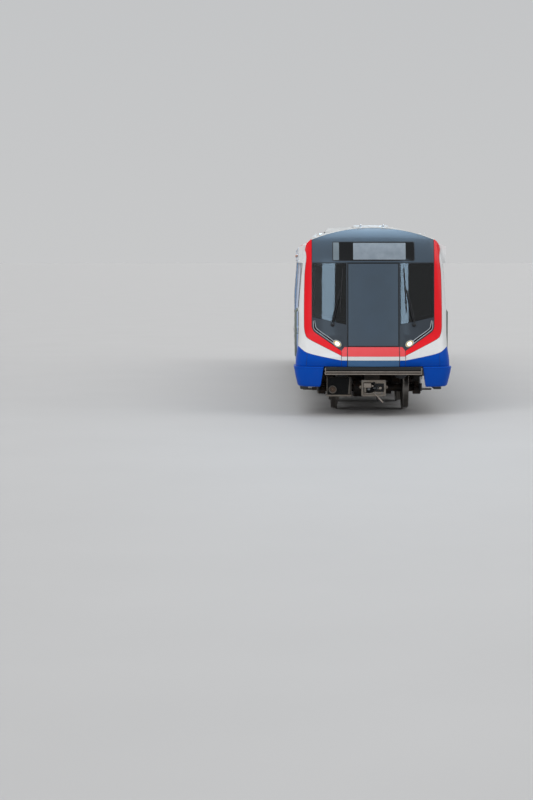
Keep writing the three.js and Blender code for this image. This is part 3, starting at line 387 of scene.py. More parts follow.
def coupler_casting(name):
    """Sand-cast coupler: pale worn faces, painted shade in near black in the funnel's pocket and on the low
    bracket.
    """
    material, node, where = new_tree(name)
    parts = node("SeparateXYZ", links={"Vector": where})
    # painted shade: the funnel's pocket, by its middle and half its size across and up, and the bracket below
    # the head
    across = node("Math COMPARE", {1: 0.113, 2: 0.093}, {0: parts.outputs["X"]})
    up = node("Math COMPARE", {1: 0.598, 2: 0.086}, {0: parts.outputs["Z"]})
    ahead = node("Math LESS_THAN", {1: -10.855}, {0: parts.outputs["Y"]})
    low = node("Math LESS_THAN", {1: 0.424}, {0: parts.outputs["Z"]})
    square_part = node("Math MULTIPLY", links={0: across, 1: up})
    pocket = node("Math MULTIPLY", links={0: square_part, 1: ahead})
    pocket_and_under_shade = node("Math MAXIMUM", links={0: pocket, 1: low})
    cloud = node("TexNoise", {"Scale": per_metre(90), "Detail": 6.0}, {"Vector": where})
    steel = node("Mix", {UNDER: "#8c857c", OVER: "#6d6053"}, {SHARE: cloud})
    shade = node("Mix", {OVER: "#0a0a0a"}, {SHARE: pocket_and_under_shade, UNDER: steel})
    fine = node("TexNoise", {"Scale": per_metre(9), "Detail": 3.0}, {"Vector": where})
    sand = node("Bump", {"Distance": 0.0015, "Strength": 0.5}, {"Height": fine})
    rough = node("Math MULTIPLY_ADD", {1: 0.3, 2: 0.4}, {0: cloud})
    shader = node("BsdfPrincipled", {"Metallic": 0.3}, {"Base Color": shade, "Roughness": rough,
        "Normal": sand})
    node("OutputMaterial", links={"Surface": shader})
    return material


def louvred_case(name, colour, rust, slat):
    """Painted equipment case: its ribs are geometry, this gives dust that lies in bands slat mm apart."""
    material, node, where = new_tree(name)
    wave = node("TexWave", {"bands_direction": "Z", "Scale": per_metre(slat) / 20, "Distortion": 3.0,
        "Detail": 3.0}, {"Vector": where})
    cloud = node("TexNoise", {"Scale": per_metre(260), "Detail": 6.0}, {"Vector": where})
    share = node("Math MULTIPLY", links={0: wave, 1: cloud})
    base = node("Mix", {UNDER: colour, OVER: rust}, {SHARE: share})
    rough = node("Math MULTIPLY_ADD", {1: 0.3, 2: 0.45}, {0: cloud})
    shader = node("BsdfPrincipled", {"IOR": 1.5}, {"Base Color": base, "Roughness": rough})
    node("OutputMaterial", links={"Surface": shader})
    return material


def make_finishes(livery):
    """All finishes of the car, by the short name that the pieces use."""
    white, red, blue = tuple(livery.white), tuple(livery.red), tuple(livery.blue)
    slate, silver, film_blue = tuple(livery.slate), tuple(livery.silver), tuple(livery.film_blue)
    return {
        # Two-pack gloss paint on composite panels gives deep colour and sharp highlights.
        "white": sprayed_paint("white_gloss_paint", white, "#d1d2d3", 0.25),
        "red": sprayed_paint("red_gloss_paint", red, "#d4000f", 0.28, 0.1, dust=0.06),
        "blue": sprayed_paint("blue_gloss_paint", blue, "#0041a2", 0.34, 0.02, dust=0.03, gloss=0.05),
        # The chin's flat middle is given a paler tone.
        "faded_red": sprayed_paint("red_paint_paler", "#db4a4d", "#d23e42", 0.36, 0.1, dust=0.06),
        "faded_blue": sprayed_paint("blue_paint_paler", "#4a6d93", "#3c618b", 0.4, 0.02, 1.9, 0.04, 0.1),
        "slate": sprayed_paint("slate_gloss_paint", slate, "#3b4650", 0.34, 0.1, dust=0.06),
        "rail": sprayed_paint("grab_rail_paint", "#7b847d", "#626a64", 0.4, 0.1, 2.2, 0.3),
        "unit": sprayed_paint("roof_unit_paint", "#cfd0cf", "#aeb0b0", 0.4, 0.2, 4.4, 0.3),
        # Back-painted toughened glass gives a near black mirror.
        "mask": sprayed_paint("black_backed_glass", "#2a3037", "#343b43", 0.36, 0.1, dust=0.05),
        "frit": sprayed_paint("black_glass_border", "#08090a", "#101214", 0.1, 0.15, dust=0.0),
        # Laminated and tinted glass gives a cool, darkened view inside.
        "windscreen": float_glass("laminated_windscreen", "#5f686c", "#7f8484", 0.0, 1.0, 0.3),
        "window": float_glass("tinted_side_glass", "#5f6c78", "#8b929a", 0.01),
        # Perforated film over the glass veils it in a middle tone.
        "veiled": float_glass("film_covered_side_glass", "#7d90ae", "#a7b0bc", 0.1, 0.5, 0.35),
        "film": printed_side_film("printed_side_film", silver, film_blue, white, blue),
        "roof": roof_coating("white_roof_coating"),
        "laminate": nose_laminate("nose_laminate", white),
        "underframe": underframe_coating("underframe_coating"),
        # Extruded rubber and coated cloth give a soft, dull black.
        "rubber": moulded("extruded_rubber", "#0f1011", "#1d1e1f", 0.5),
        "bellows": moulded("coated_bellows_cloth", "#191a1c", "#2b2c2e", 0.65, 6.0),
        "plastic": moulded("black_moulded_plastic", "#141517", "#212225", 0.4),
        "desk": moulded("textured_desk_plastic", "#2a2d31", "#373b40", 0.5),
        "lining": moulded("melamine_lining", "#cbccc8", "#bcbdb9", 0.35),
        "seat": moulded("moulded_seat_plastic", "#25548f", "#316aa8", 0.3),
        "cloth": moulded("woven_seat_cloth", "#22252c", "#373d48", 0.8, 3.0, 0.3),
        "strap": moulded("moulded_grip_plastic", "#d8b32a", "#c49c1e", 0.4),
        # Steel with dust and rust gives the dark, uneven look of running gear.
        "bogie": weathered_steel("bogie_paint_and_brake_dust", "#2a2622", "#5b4636", 0.1, 0.6, 12, 0.7),
        "casting": weathered_steel("cast_steel", "#7b746b", "#675441", 0.35, 0.45, 9, 0.35),
        "rib": weathered_steel("rolled_steel_rib", "#90877e", "#6b5f54", 0.2, 0.55, 10, 0.4),
        "worn": weathered_steel("worn_dark_steel", "#5b564f", "#443b31", 0.2, 0.5, 12, 0.5),
        "coupler": coupler_casting("cast_coupler_head"),
        # Near-black sheets in recesses and gaps stand in for their shade: painted shadow.
        "shadow": moulded("painted_recess_shadow", "#040404", "#0a0a0a", 0.9),
        "bolt": weathered_steel("zinc_plated_bolt", "#7c7d7e", "#5e564c", 0.7, 0.4, 6, 0.3),
        "case": louvred_case("equipment_case_paint", "#3d3f42", "#6a6054", 40),
        "tread": brushed_metal("rolled_tread_steel", "#5f5b57", "#8b8782", 0.3, (1.0, 0.04, 0.04)),
        "stainless": brushed_metal("brushed_stainless_tube", "#a4a6a8", "#d4d5d6", 0.22, (1.0, 1.0, 0.02)),
        # Lamps and diffusers.
        "headlamp": lit_plastic("headlamp_source", "#fff0c8", "#fffaf0", 1.2, 25),
        "halo": lit_plastic("headlamp_reflector_glow", "#8a7a48", "#cdbb86", 0.25, 40),
        "guide": lit_plastic("pale_light_guide", "#7f878e", "#b9bfc4", 0.0, 60),
        # The display's field is pale partly as painted reflection of the sky in its glass; its margin, a
        # darker copy, is painted shade.
        "shaded": moulded("display_edge_painted_shade", "#5d6b74", "#727d84", 0.25, 30.0),
        "matrix": moulded("display_matrix_with_painted_reflection", "#65717b", "#949ea8", 0.25, 30.0),
        "diffuser": lit_plastic("ceiling_diffuser", "#e9f1ff", "#ffffff", 3.0, 300),
        "amber": lit_plastic("amber_indicator_lens", "#c8641c", "#e0862c", 0.1, 20),
        "tail": lit_plastic("red_tail_lens", "#7c0d12", "#b01c22", 0.1, 20),
    }


FINISHES = {}


def finish(key):
    """Material of a finish, made with the others when the first is asked for."""
    if not FINISHES:
        FINISHES.update(make_finishes(bpy.context.scene.metro_livery))
    return FINISHES[key]


# Mesh helpers

def new_piece(name, verts, faces, material, body="car_body", smooth=30, groups=None):
    """One mesh piece. An edge above the angle smooth stays sharp, and groups gives each face its material."""
    mesh = bpy.data.meshes.new(name)
    mesh.from_pydata([tuple(v) for v in verts], [], faces)
    for item in material if isinstance(material, (list, tuple)) else [material]:
        mesh.materials.append(finish(item))
    if groups:
        mesh.polygons.foreach_set("material_index", groups)
    tidy = bmesh.new()
    tidy.from_mesh(mesh)
    bmesh.ops.recalc_face_normals(tidy, faces=tidy.faces)
    tidy.to_mesh(mesh)
    tidy.free()
    mesh.polygons.foreach_set("use_smooth", [True] * len(mesh.polygons))
    mesh.set_sharp_from_angle(angle=radians(smooth))
    made = bpy.data.objects.new(name, mesh)
    bpy.context.scene.collection.objects.link(made)
    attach(made, body)
    return made


class Builder:
    """Collects many small solids into one mesh. group picks the material of what is added."""

    def __init__(self):
        self.verts = []
        self.faces = []
        self.groups = []

    def add(self, verts, faces, group=0):
        """Takes in points and faces that count from their own first point."""
        start = len(self.verts)
        self.verts.extend(Vector(v) for v in verts)
        self.faces.extend(tuple(start + i for i in face) for face in faces)
        self.groups.extend([group] * len(faces))

    def prism(self, ring, step, group=0):
        """Prism from a ring of points, swept by a vector."""
        count = len(ring)
        step = Vector(step)
        verts = [Vector(p) for p in ring] + [Vector(p) + step for p in ring]
        faces = [tuple(reversed(range(count))), tuple(range(count, 2 * count))]
        faces += [(i, (i + 1) % count, count + (i + 1) % count, count + i) for i in range(count)]
        self.add(verts, faces, group)

    def box(self, low, high, chamfer=0.0, group=0):
        """Box with its eight top and bottom edges cut off by chamfer."""
        (x0, y0, z0), (x1, y1, z1) = low, high
        if not chamfer:
            self.prism([(x0, y0, z0), (x1, y0, z0), (x1, y1, z0), (x0, y1, z0)], (0, 0, z1 - z0), group)
            return
        rings = []
        for z, inset in ((z0, chamfer), (z0 + chamfer, 0), (z1 - chamfer, 0), (z1, chamfer)):
            a, b, c, d = x0 + inset, x1 - inset, y0 + inset, y1 - inset
            rings.append([(a, c, z), (b, c, z), (b, d, z), (a, d, z)])
        self.stack(rings, group)

    def slab(self, side, across, along, up, chamfer=0.0, group=0):
        """Box on one side of the car: two distances from the centreline, two y and two heights."""
        x0, x1 = sorted(side * x for x in across)
        self.box((x0, along[0], up[0]), (x1, along[1], up[1]), chamfer, group)

    def stack(self, rings, group=0):
        """Closed solid through rings of equal size, one after the other."""
        count = len(rings[0])
        verts = [p for ring in rings for p in ring]
        faces = [tuple(reversed(range(count))), tuple(range(len(verts) - count, len(verts)))]
        for level in range(len(rings) - 1):
            a = level * count
            faces += [(a + i, a + (i + 1) % count, a + count + (i + 1) % count, a + count + i)
                for i in range(count)]
        self.add(verts, faces, group)

    def tube(self, points, radius, sides=10, group=0):
        """Round bar along a list of points."""
        points = [Vector(p) for p in points]
        rings = []
        side = None
        for i, point in enumerate(points):
            along = (points[min(i + 1, len(points) - 1)] - points[max(i - 1, 0)]).normalized()
            guide = side if side else Vector((0, 0, 1)) if abs(along.z) < 0.9 else Vector((0, 1, 0))
            side = (guide - along * guide.dot(along)).normalized()
            other = along.cross(side)
            angles = [2 * pi * k / sides for k in range(sides)]
            rings.append([point + side * cos(t) * radius + other * sin(t) * radius for t in angles])
        self.stack(rings, group)

    def lathe(self, profile, centre, axis, segments=32, group=0):
        """Solid of revolution from (distance along the axis, radius) pairs. It starts and ends on the axis,
        or comes back to its first pair."""
        axis = Vector(axis).normalized()
        guide = Vector((0, 0, 1)) if abs(axis.z) < 0.9 else Vector((0, 1, 0))
        first = axis.cross(guide).normalized()
        second = axis.cross(first)
        verts = []
        rings = []
        closed = profile[0] == profile[-1]
        for along, radius in profile[:-1] if closed else profile:
            base = Vector(centre) + axis * along
            if radius < 1e-6:
                rings.append([len(verts)])
                verts.append(base)
                continue
            rings.append(list(range(len(verts), len(verts) + segments)))
            for k in range(segments):
                angle = 2 * pi * k / segments
                verts.append(base + (first * cos(angle) + second * sin(angle)) * radius)
        faces = []
        for low, high in zip(rings, rings[1:] + ([rings[0]] if closed else [])):
            for k in range(segments):
                n = (k + 1) % segments
                if len(low) == 1:
                    faces.append((low[0], high[k], high[n]))
                elif len(high) == 1:
                    faces.append((low[k], low[n], high[0]))
                else:
                    faces.append((low[k], low[n], high[n], high[k]))
        self.add(verts, faces, group)

    def frame(self, outer, inner, step, group=0):
        """Flat frame between two rings of equal size, swept by a vector."""
        count = len(outer)
        step = Vector(step)
        verts = [Vector(p) for p in (*outer, *inner)]
        verts += [v + step for v in verts]
        faces = []
        for i in range(count):
            n = (i + 1) % count
            o, k, far = 0, count, 2 * count
            faces.append((o + i, o + n, k + n, k + i))
            faces.append((far + o + i, far + k + i, far + k + n, far + o + n))
            faces.append((o + i, far + o + i, far + o + n, o + n))
            faces.append((k + i, k + n, far + k + n, far + k + i))
        self.add(verts, faces, group)

    def bolts(self, points, axis, radius, height, group=0):
        """Hexagonal bolt heads with a small dome."""
        for point in points:
            profile = [(-0.002, 0), (-0.002, radius), (height * 0.8, radius), (height, radius * 0.7),
                (height, 0)]
            self.lathe(profile, point, axis, 6, group)

    def piece(self, name, material, body="car_body", slot=None, smooth=30):
        """Mesh of all that was added. A list of materials gives one to each group."""
        many = isinstance(material, (list, tuple))
        return new_piece(name, self.verts, self.faces, material, body, smooth,
            self.groups if many else None)


def rounded(a0, a1, b0, b1, radius, steps=4):
    """Rectangle with round corners, as (a, b) points."""
    points = []
    corners = ((a1, b0, -90), (a1, b1, 0), (a0, b1, 90), (a0, b0, 180))
    for a, b, start in corners:
        ca = a - radius if a == a1 else a + radius
        cb = b - radius if b == b1 else b + radius
        for i in range(steps + 1):
            angle = radians(start + 90 * i / steps)
            points.append((ca + radius * cos(angle), cb + radius * sin(angle)))
    return points


def clamp(value, low, high):
    """Value held between two limits."""
    return max(low, min(high, value))


def between(table, value):
    """Straight-line reading of a table of (input, output) rows."""
    for (a, u), (b, v) in zip(table, table[1:]):
        if value <= b:
            return u + (v - u) * clamp((value - a) / (b - a), 0, 1)
    return table[-1][1]


def wall_x(z):
    """Outer face of the side wall at a height."""
    return between([(WAIST_Z, WALL_X), (CANTRAIL_Z, CANTRAIL_X)], z)


# Nose surface: the solids' formulas, with a smooth plan

HALF_WIDTHS = [
    # height, half width of the nose
    (SOLE_BOTTOM_Z, SOLE_X), (SOLE_TOP_Z, 1.556), (CHIN_TOP_Z, 1.545), (SHELF_Z, 1.514), (1.65, WALL_X),
    (WAIST_Z, WALL_X), (CANTRAIL_Z, CANTRAIL_X), (3.364, 1.378),
]
BROW_Z = 1.65
CHIN_HEIGHTS = (SOLE_BOTTOM_Z, SOLE_TOP_Z, CHIN_TOP_Z, 1.3, SHELF_Z, 1.52, BROW_Z)
STEP_WIDTH = 0.06
STEP_PITCH = 0.01
CHIN_DEPTH = SHELF_Y - CHIN_Y


def mask_y(z):
    """Front line of the mask and dome on the centreline."""
    if z <= MASK_TOP_Z:
        return SHELF_Y + (z - SHELF_Z) * (MASK_TOP_Y - SHELF_Y) / (MASK_TOP_Z - SHELF_Z)
    t = min((z - MASK_TOP_Z) / (ROOF_TOP_Z - MASK_TOP_Z), 1.0)
    return MASK_TOP_Y + DOME_LEAN * t + DOME_DEPTH * (1 - sqrt(1 - t * t))


def chin_step(height, centre):
    """How far the chin stands out at one of its heights, for a share of its middle's stepped line."""
    full = CHIN_DEPTH + (mask_y(height) - SHELF_Y)
    shelf = clamp((SHELF_Z - height) / (SHELF_Z - CHIN_TOP_Z), 0, 1)
    t = clamp((BROW_Z - height) / (BROW_Z - SOLE_TOP_Z), 0, 1)
    soft = t * t * (3 - 2 * t)
    under = clamp((SOLE_TOP_Z - height) / (SOLE_TOP_Z - SOLE_BOTTOM_Z), 0, 1)
    return full * (centre * shelf + (1 - centre) * soft) - 0.04 * under * under


def chin_bulge(x, z):
    """How far the chin stands in front of the mask's line, straight between the solids' heights."""
    across = clamp((abs(x) - SHELF_HALF_WIDTH) / STEP_WIDTH, 0, 1)
    if z >= BROW_Z:
        return 0.0
    row = max(i for i, height in enumerate(CHIN_HEIGHTS[:-1]) if height <= max(z, SOLE_BOTTOM_Z))
    z0, z1 = CHIN_HEIGHTS[row:row + 2]
    up = clamp((z - z0) / (z1 - z0), 0, 1)
    a, b = chin_step(z0, 1), chin_step(z0, 0)
    c, d = chin_step(z1, 1), chin_step(z1, 0)
    # the fuller of the two folds that each four-sided face of the solid can have
    if across >= up:
        rising = a + (b - a) * across + (d - b) * up
    else:
        rising = a + (d - c) * across + (c - a) * up
    if across + up <= 1:
        falling = a + (b - a) * across + (c - a) * up
    else:
        falling = d + (c - d) * (1 - across) + (b - d) * (1 - up)
    return max(rising, falling)


def near_step(s, z):
    """True where the chin's step is, and a panel needs a finer mesh."""
    return SHELF_HALF_WIDTH - 0.01 < abs(s) < SHELF_HALF_WIDTH + STEP_WIDTH + 0.012 and z < BROW_Z


def corner_start(z):
    """Angle and distance across at which the corner's arc begins."""
    sine = (between(HALF_WIDTHS, z) - CORNER_RADIUS) / (BOW_RADIUS - CORNER_RADIUS)
    return asin(sine), BOW_RADIUS * sine


def on_front(x, z):
    """(length along the surface from the centreline, height) of a point seen from the front."""
    start, start_x = corner_start(z)
    size = abs(x)
    if size <= start_x:
        length = BOW_RADIUS * asin(size / BOW_RADIUS)
    else:
        inner = between(HALF_WIDTHS, z) - CORNER_RADIUS
        angle = asin(clamp((size - inner) / CORNER_RADIUS, -1, 1))
        length = BOW_RADIUS * start + CORNER_RADIUS * (angle - start)
    return copysign(length, x), z


def on_side(side, y, z):
    """(length along the surface, height) of a point on the nose's straight side."""
    start, _ = corner_start(z)
    length = BOW_RADIUS * start + CORNER_RADIUS * (pi / 2 - start)
    corner_y = mask_y(z) + BOW_RADIUS * (1 - cos(start)) + CORNER_RADIUS * cos(start)
    return side * (length + y - corner_y), z


def nose_point(s, z, lift=0.0):
    """Point of the nose at a length along the surface and a height, lift off it."""
    start, start_x = corner_start(z)
    size = abs(s)
    arc = BOW_RADIUS * start
    corner = CORNER_RADIUS * (pi / 2 - start)
    y = mask_y(z)
    if size <= arc:
        angle = size / BOW_RADIUS
        x = BOW_RADIUS * sin(angle)
        y += BOW_RADIUS * (1 - cos(angle)) - chin_bulge(x, z)
    elif size <= arc + corner:
        step = (size - arc) / corner
        angle = start + (size - arc) / CORNER_RADIUS
        x = between(HALF_WIDTHS, z) - CORNER_RADIUS + CORNER_RADIUS * sin(angle)
        y += BOW_RADIUS * (1 - cos(start)) + CORNER_RADIUS * (cos(start) - cos(angle))
        y -= chin_bulge(start_x, z) * (1 - step)
    else:
        angle = pi / 2
        x = between(HALF_WIDTHS, z)
        y += BOW_RADIUS * (1 - cos(start)) + CORNER_RADIUS * cos(start) + size - arc - corner
    slope = 0.0
    if z > MASK_TOP_Z:
        slope = (mask_y(z + 0.001) - mask_y(z - 0.001)) / 0.002
    tilt = Vector((sin(angle), -cos(angle), min(slope, 12.0) * cos(angle))).normalized()
    return Vector((copysign(x + tilt.x * lift, s), y + tilt.y * lift, z + tilt.z * lift))


def roof_z(x):
    """Height of the roof's skin at a distance from the centreline."""
    return ROOF_TOP_Z - ROOF_RADIUS + sqrt(max(ROOF_RADIUS ** 2 - x * x, 0.0))


def in_polygon(x, y, polygon):
    """True where a point lies inside a closed line."""
    inside = False
    for (x0, y0), (x1, y1) in zip(polygon, polygon[1:] + polygon[:1]):
        if (y0 > y) != (y1 > y) and x < (x1 - x0) * (y - y0) / (y1 - y0) + x0:
            inside = not inside
    return inside


def fill_outline(loops, pitch, fine=None):
    """Triangles inside the first loop and outside the others, with grid points inside it.

    fine(a, b) tells where the points are set at the chin step's closer pitch.
    """
    points = []
    edges = []
    dense = []
    for loop in loops:
        start = len(points)
        line = []
        for (x0, y0), (x1, y1) in zip(loop, loop[1:] + loop[:1]):
            length = hypot(x1 - x0, y1 - y0)
            close = fine and any(fine(x0 + (x1 - x0) * k / 4, y0 + (y1 - y0) * k / 4) for k in range(5))
            count = max(1, ceil(length / (STEP_PITCH if close else pitch)))
            line += [(x0 + (x1 - x0) * i / count, y0 + (y1 - y0) * i / count) for i in range(count)]
        dense.append(line)
        points += line
        edges += [(start + i, start + (i + 1) % len(line)) for i in range(len(line))]
    border = list(points)
    low_x, high_x = min(p[0] for p in dense[0]), max(p[0] for p in dense[0])
    low_y, high_y = min(p[1] for p in dense[0]), max(p[1] for p in dense[0])
    across = max(1, round((high_x - low_x) / pitch))
    up = max(1, round((high_y - low_y) / pitch))

    def inside(x, y):
        return in_polygon(x, y, dense[0]) and not any(in_polygon(x, y, hole) for hole in dense[1:])

    grids = [(low_x, (high_x - low_x) / across, across, low_y, (high_y - low_y) / up, up, pitch)]
    if fine and low_y < BROW_Z:
        ridge = on_front(SHELF_HALF_WIDTH + STEP_WIDTH, low_y)[0]
        rows = ceil((min(high_y, BROW_Z) - low_y) / STEP_PITCH)
        for side in SIDES.values():
            grids.append((side * ridge - 8 * STEP_PITCH, STEP_PITCH, 16, low_y, STEP_PITCH, rows, STEP_PITCH))
    for x0, step_x, columns, y0, step_y, rows, space in grids:
        for i in range(1, columns):
            for j in range(1, rows):
                x, y = x0 + step_x * i, y0 + step_y * j
                if fine and fine(x, y) != (space == STEP_PITCH):
                    continue
                if inside(x, y) and min((x - a) ** 2 + (y - b) ** 2 for a, b in border) > (0.4 * space) ** 2:
                    points.append((x, y))
    verts, _, faces, *_ = delaunay_2d_cdt([Vector(p) for p in points], edges, [], 0, 1e-6)
    kept = []
    for face in faces:
        x = sum(verts[i][0] for i in face) / len(face)
        y = sum(verts[i][1] for i in face) / len(face)
        if inside(x, y):
            kept.append(tuple(face))
    return verts, kept


def sheet_faces(faces, count):
    """Faces of a closed sheet: the top's, the same ones turned over count points on, and the edge's."""
    every = faces + [tuple(count + i for i in reversed(face)) for face in faces]
    edges = {(a, b) for face in faces for a, b in zip(face, face[1:] + face[:1])}
    return every + [(b, a, count + a, count + b) for a, b in edges if (b, a) not in edges]


def panel(builder, loops, place, lift, thickness, pitch=0.05, group=0, fine=None):
    """Adds a closed panel from flat loops. place(a, b, lift) gives the point on the surface."""
    flat, faces = fill_outline(loops, pitch, fine)
    used = sorted({i for face in faces for i in face})
    rank = {old: new for new, old in enumerate(used)}
    top = [place(flat[i][0], flat[i][1], lift) for i in used]
    under = [place(flat[i][0], flat[i][1], lift - thickness) for i in used]
    faces = [tuple(rank[i] for i in face) for face in faces]
    builder.add(top + under, sheet_faces(faces, len(top)), group)


NOSE_SLOTS = {"white": "front_white", "red": "front_white", "faded_red": "front_white", "blue": "front_blue",
    "faded_blue": "front_blue", "rubber": "wiper_black"}


def nose_panel(name, loops, material, body="car_body", lift=None, thickness=0.004, pitch=0.05):
    """One panel of the nose, from loops of (length along the surface, height)."""
    made = Builder()
    lift = bpy.context.scene.metro_sizes.panel_lift if lift is None else lift
    panel(made, loops, nose_point, lift, thickness, pitch, fine=near_step)
    made.piece(name, material, body, NOSE_SLOTS.get(material, "front_slate"), 35)


def front_line(side, points):
    """Points seen from the front, (across, height), for one side."""
    return [on_front(side * x, z) for x, z in points]


def smooth_line(points, steps=6):
    """Smooth open line through points."""
    result = []
    ends = [points[0], *points, points[-1]]
    for a, b, c, d in zip(ends, ends[1:], ends[2:], ends[3:]):
        a, b, c, d = Vector(a), Vector(b), Vector(c), Vector(d)
        for k in range(steps):
            t = k / steps
            result.append(tuple(0.5 * (2 * b + (c - a) * t + (2 * a - 5 * b + 4 * c - d) * t * t
                + (3 * b - a - 3 * c + d) * t ** 3)))
    result.append(tuple(points[-1]))
    return result


# Lines of the front, across and up, for the right-hand side

RED_OUTER = smooth_line([(0.646, 1.234), (0.98, 1.4), (1.296, 1.562), (1.366, 1.66), (1.39, 1.8)])
RED_OUTER_TOP = smooth_line([(1.388, 2.5), (1.378, 2.88), (1.352, 3.12), (1.346, 3.22), (1.356, 3.3),
    (1.374, 3.364)], 3)
RED_CROWN = smooth_line([(1.374, 3.364), (1.349, 3.462), (1.3, 3.531), (1.242, 3.578)])
RED_INNER = smooth_line([(1.242, 1.81), (1.218, 1.74), (1.164, 1.68), (0.9, 1.5), (0.646, 1.326)])
WHITE_LOWER = smooth_line([(1.536, 1.418), (1.492, 1.399), (1.44, 1.355), (1.34, 1.29), (1.11, 1.228),
    (0.646, 1.138)])


def roof_edge():
    """White top of the nose, from the dome's upper edge back to the car's roof."""
    section = [(1.3805, 3.364), (1.3545, 3.465), (1.3055, 3.5375), (1.24, 3.585)]
    section += [(x, roof_z(x) + 0.004) for x in [1.2 - 0.08 * i for i in range(31)]]
    section += [(-x, z) for x, z in section[3::-1]]
    rows = []
    for x, z in section:
        front = nose_point(on_front(x, min(z, ROOF_TOP_Z - 0.004))[0], min(z - 0.012, 3.806)).y - 0.004
        rows.append([(x, front + (NOSE_BACK_Y - 0.002 - front) * k / 8, z) for k in range(9)])
    made = Builder()
    top = [p for row in rows for p in row]
    centre = Vector((0, 0, 1.5))
    inner = []
    for x, y, z in top:
        inward = (centre - Vector((x * 0.4, 0, z))).normalized()
        inner.append((x + (-0.5 * x / 1.38) * 0.02, y, z + inward.z * 0.018))
    corners = [i * 9 + k for i in range(len(rows) - 1) for k in range(8)]
    made.add(top + inner, sheet_faces([(a, a + 1, a + 10, a + 9) for a in corners], len(top)))
    made.piece("nose_roof", "roof", slot="roof_white", smooth=35)


def nose_bands(hand, side, gap):
    """Red, white and blue bands of one side, and the black glass before its cab door."""
    half = gap / 2
    back = NOSE_BACK_Y - 0.003
    outer = RED_OUTER + RED_OUTER_TOP
    red = outer[:-1] + RED_CROWN + [(1.242, 3.1), (1.242, 2.4)] + RED_INNER
    nose_panel(f"red_band_{hand}", [front_line(side, red)], "red", pitch=0.06)
    edge = [(x + gap, z - half) for x, z in outer]
    white = front_line(side, edge)
    white += [on_side(side, y, z) for y, z in ((-9.975, 3.352), (-10.01, 3.083), (-10.11, 3.083),
        (-10.15, 2.16), (back, 2.16), (back, 1.425), (-10.2, 1.425))]
    white += front_line(side, WHITE_LOWER)
    nose_panel(f"white_band_{hand}", [white], "white", pitch=0.06)
    lower = [(x, z - 0.002) for x, z in WHITE_LOWER]
    split = [p for p in lower if p[0] < 1.325]
    outside = [p for p in lower if p[0] > 1.345]
    near = [(1.33, 1.283)] + split + [(0.646, 1.013), (1.346, 1.013)]
    nose_panel(f"blue_band_{hand}", [front_line(side, near)], "blue", pitch=0.06)
    far = [on_side(side, -10.2, 1.423)] + front_line(side, outside + [(1.336, 1.286), (1.352, 1.013)])
    far += [on_side(side, y, z) for y, z in ((back, 1.013), (back, 1.423))]
    nose_panel(f"blue_corner_{hand}", [far], "blue", lift=0.005, pitch=0.04)
    rim = [(-10.115, 3.079), (back, 3.079), (back, 2.165), (-10.155, 2.165)]
    glass = [on_side(side, y, z) for y, z in rim]
    nose_panel(f"cab_side_glass_{hand}", [glass], "frit", pitch=0.08)


def chin_stripes():
    """Three stripes of the chin, with a joint each side of their middle."""
    for name, paint, z0, z1 in (
        # stripe of the chin, finish of its middle, bottom, top
        ("red", "faded_red", 1.2175, 1.402),
        ("white", "white", 1.138, 1.2145),
        ("blue", "faded_blue", 1.013, 1.135),
    ):
        middle = front_line(1, [(-0.515, z0), (0.515, z0), (0.515, z1), (-0.515, z1)])
        nose_panel(f"chin_{name}_middle", [middle], paint, pitch=0.045)
        for hand, side in SIDES.items():
            top = [(0.584, z1), (0.639, z1 - 0.075)] if name == "red" else [(0.639, z1)]
            end = front_line(side, [(0.531, z0), (0.639, z0)] + top[::-1] + [(0.531, z1)])
            nose_panel(f"chin_{name}_{hand}", [end], paint if name == "red" else name, pitch=0.045)
    for hand, side in SIDES.items():
        joint = [(0.5165, 1.012), (0.5295, 1.012), (0.5295, 1.403), (0.5165, 1.403)]
        nose_panel(f"chin_joint_{hand}", [front_line(side, joint)], "rubber", lift=0.0035, pitch=0.045)


def dome_panel():
    """Slate dome over the windscreens, open for the display."""
    rise = [(x, roof_z(x) - 0.016) for x in [1.2345 - 0.0823 * i for i in range(31)]]
    rise[0] = (1.2345, 3.566)
    rise[-1] = (-1.2345, 3.566)
    dome = [(-1.2345, 3.104), (1.2345, 3.104)] + rise
    window = rounded(-0.826, 0.838, 3.131, 3.523, 0.03)
    nose_panel("dome", [front_line(1, dome), front_line(1, window)], "slate", pitch=0.045)


class NosePanels(Operator):
    """Painted panels of the nose: red, white and blue bands, chin, dome and the edge of the roof"""
    bl_idname = "metro_car.nose_panels"
    bl_label = "Nose panels"

    def execute(self, context):
        gap = context.scene.metro_sizes.seam
        for hand, side in SIDES.items():
            nose_bands(hand, side, gap)
        chin_stripes()
        dome_panel()
        roof_edge()
        return {"FINISHED"}


def windscreen(hand, side):
    """Black mask of one side, with the pane and its border."""
    edge = [(x - 0.007, z + 0.004) for x, z in RED_INNER[:-1]]
    mask = [(1.2345, 3.094), (1.2345, 1.815)] + edge + [(0.652, 1.33), (0.586, 1.41), (0.53, 1.41),
        (0.53, 3.094)]
    hole = front_line(side, [(1.176, 2.054), (0.559, 1.917), (0.559, 3.046), (1.176, 3.046)])
    nose_panel(f"mask_{hand}", [front_line(side, mask), hole], "mask")
    border = front_line(side, [(1.226, 2.002), (0.548, 1.852), (0.548, 3.088), (1.226, 3.088)])
    nose_panel(f"windscreen_border_{hand}", [border, hole], "frit", lift=0.0075, thickness=0.003)
    pane = front_line(side, [(1.222, 2.008), (0.552, 1.86), (0.552, 3.084), (1.222, 3.084)])
    nose_panel(f"windscreen_{hand}", [pane], "windscreen", lift=0.013, thickness=0.005, pitch=0.08)


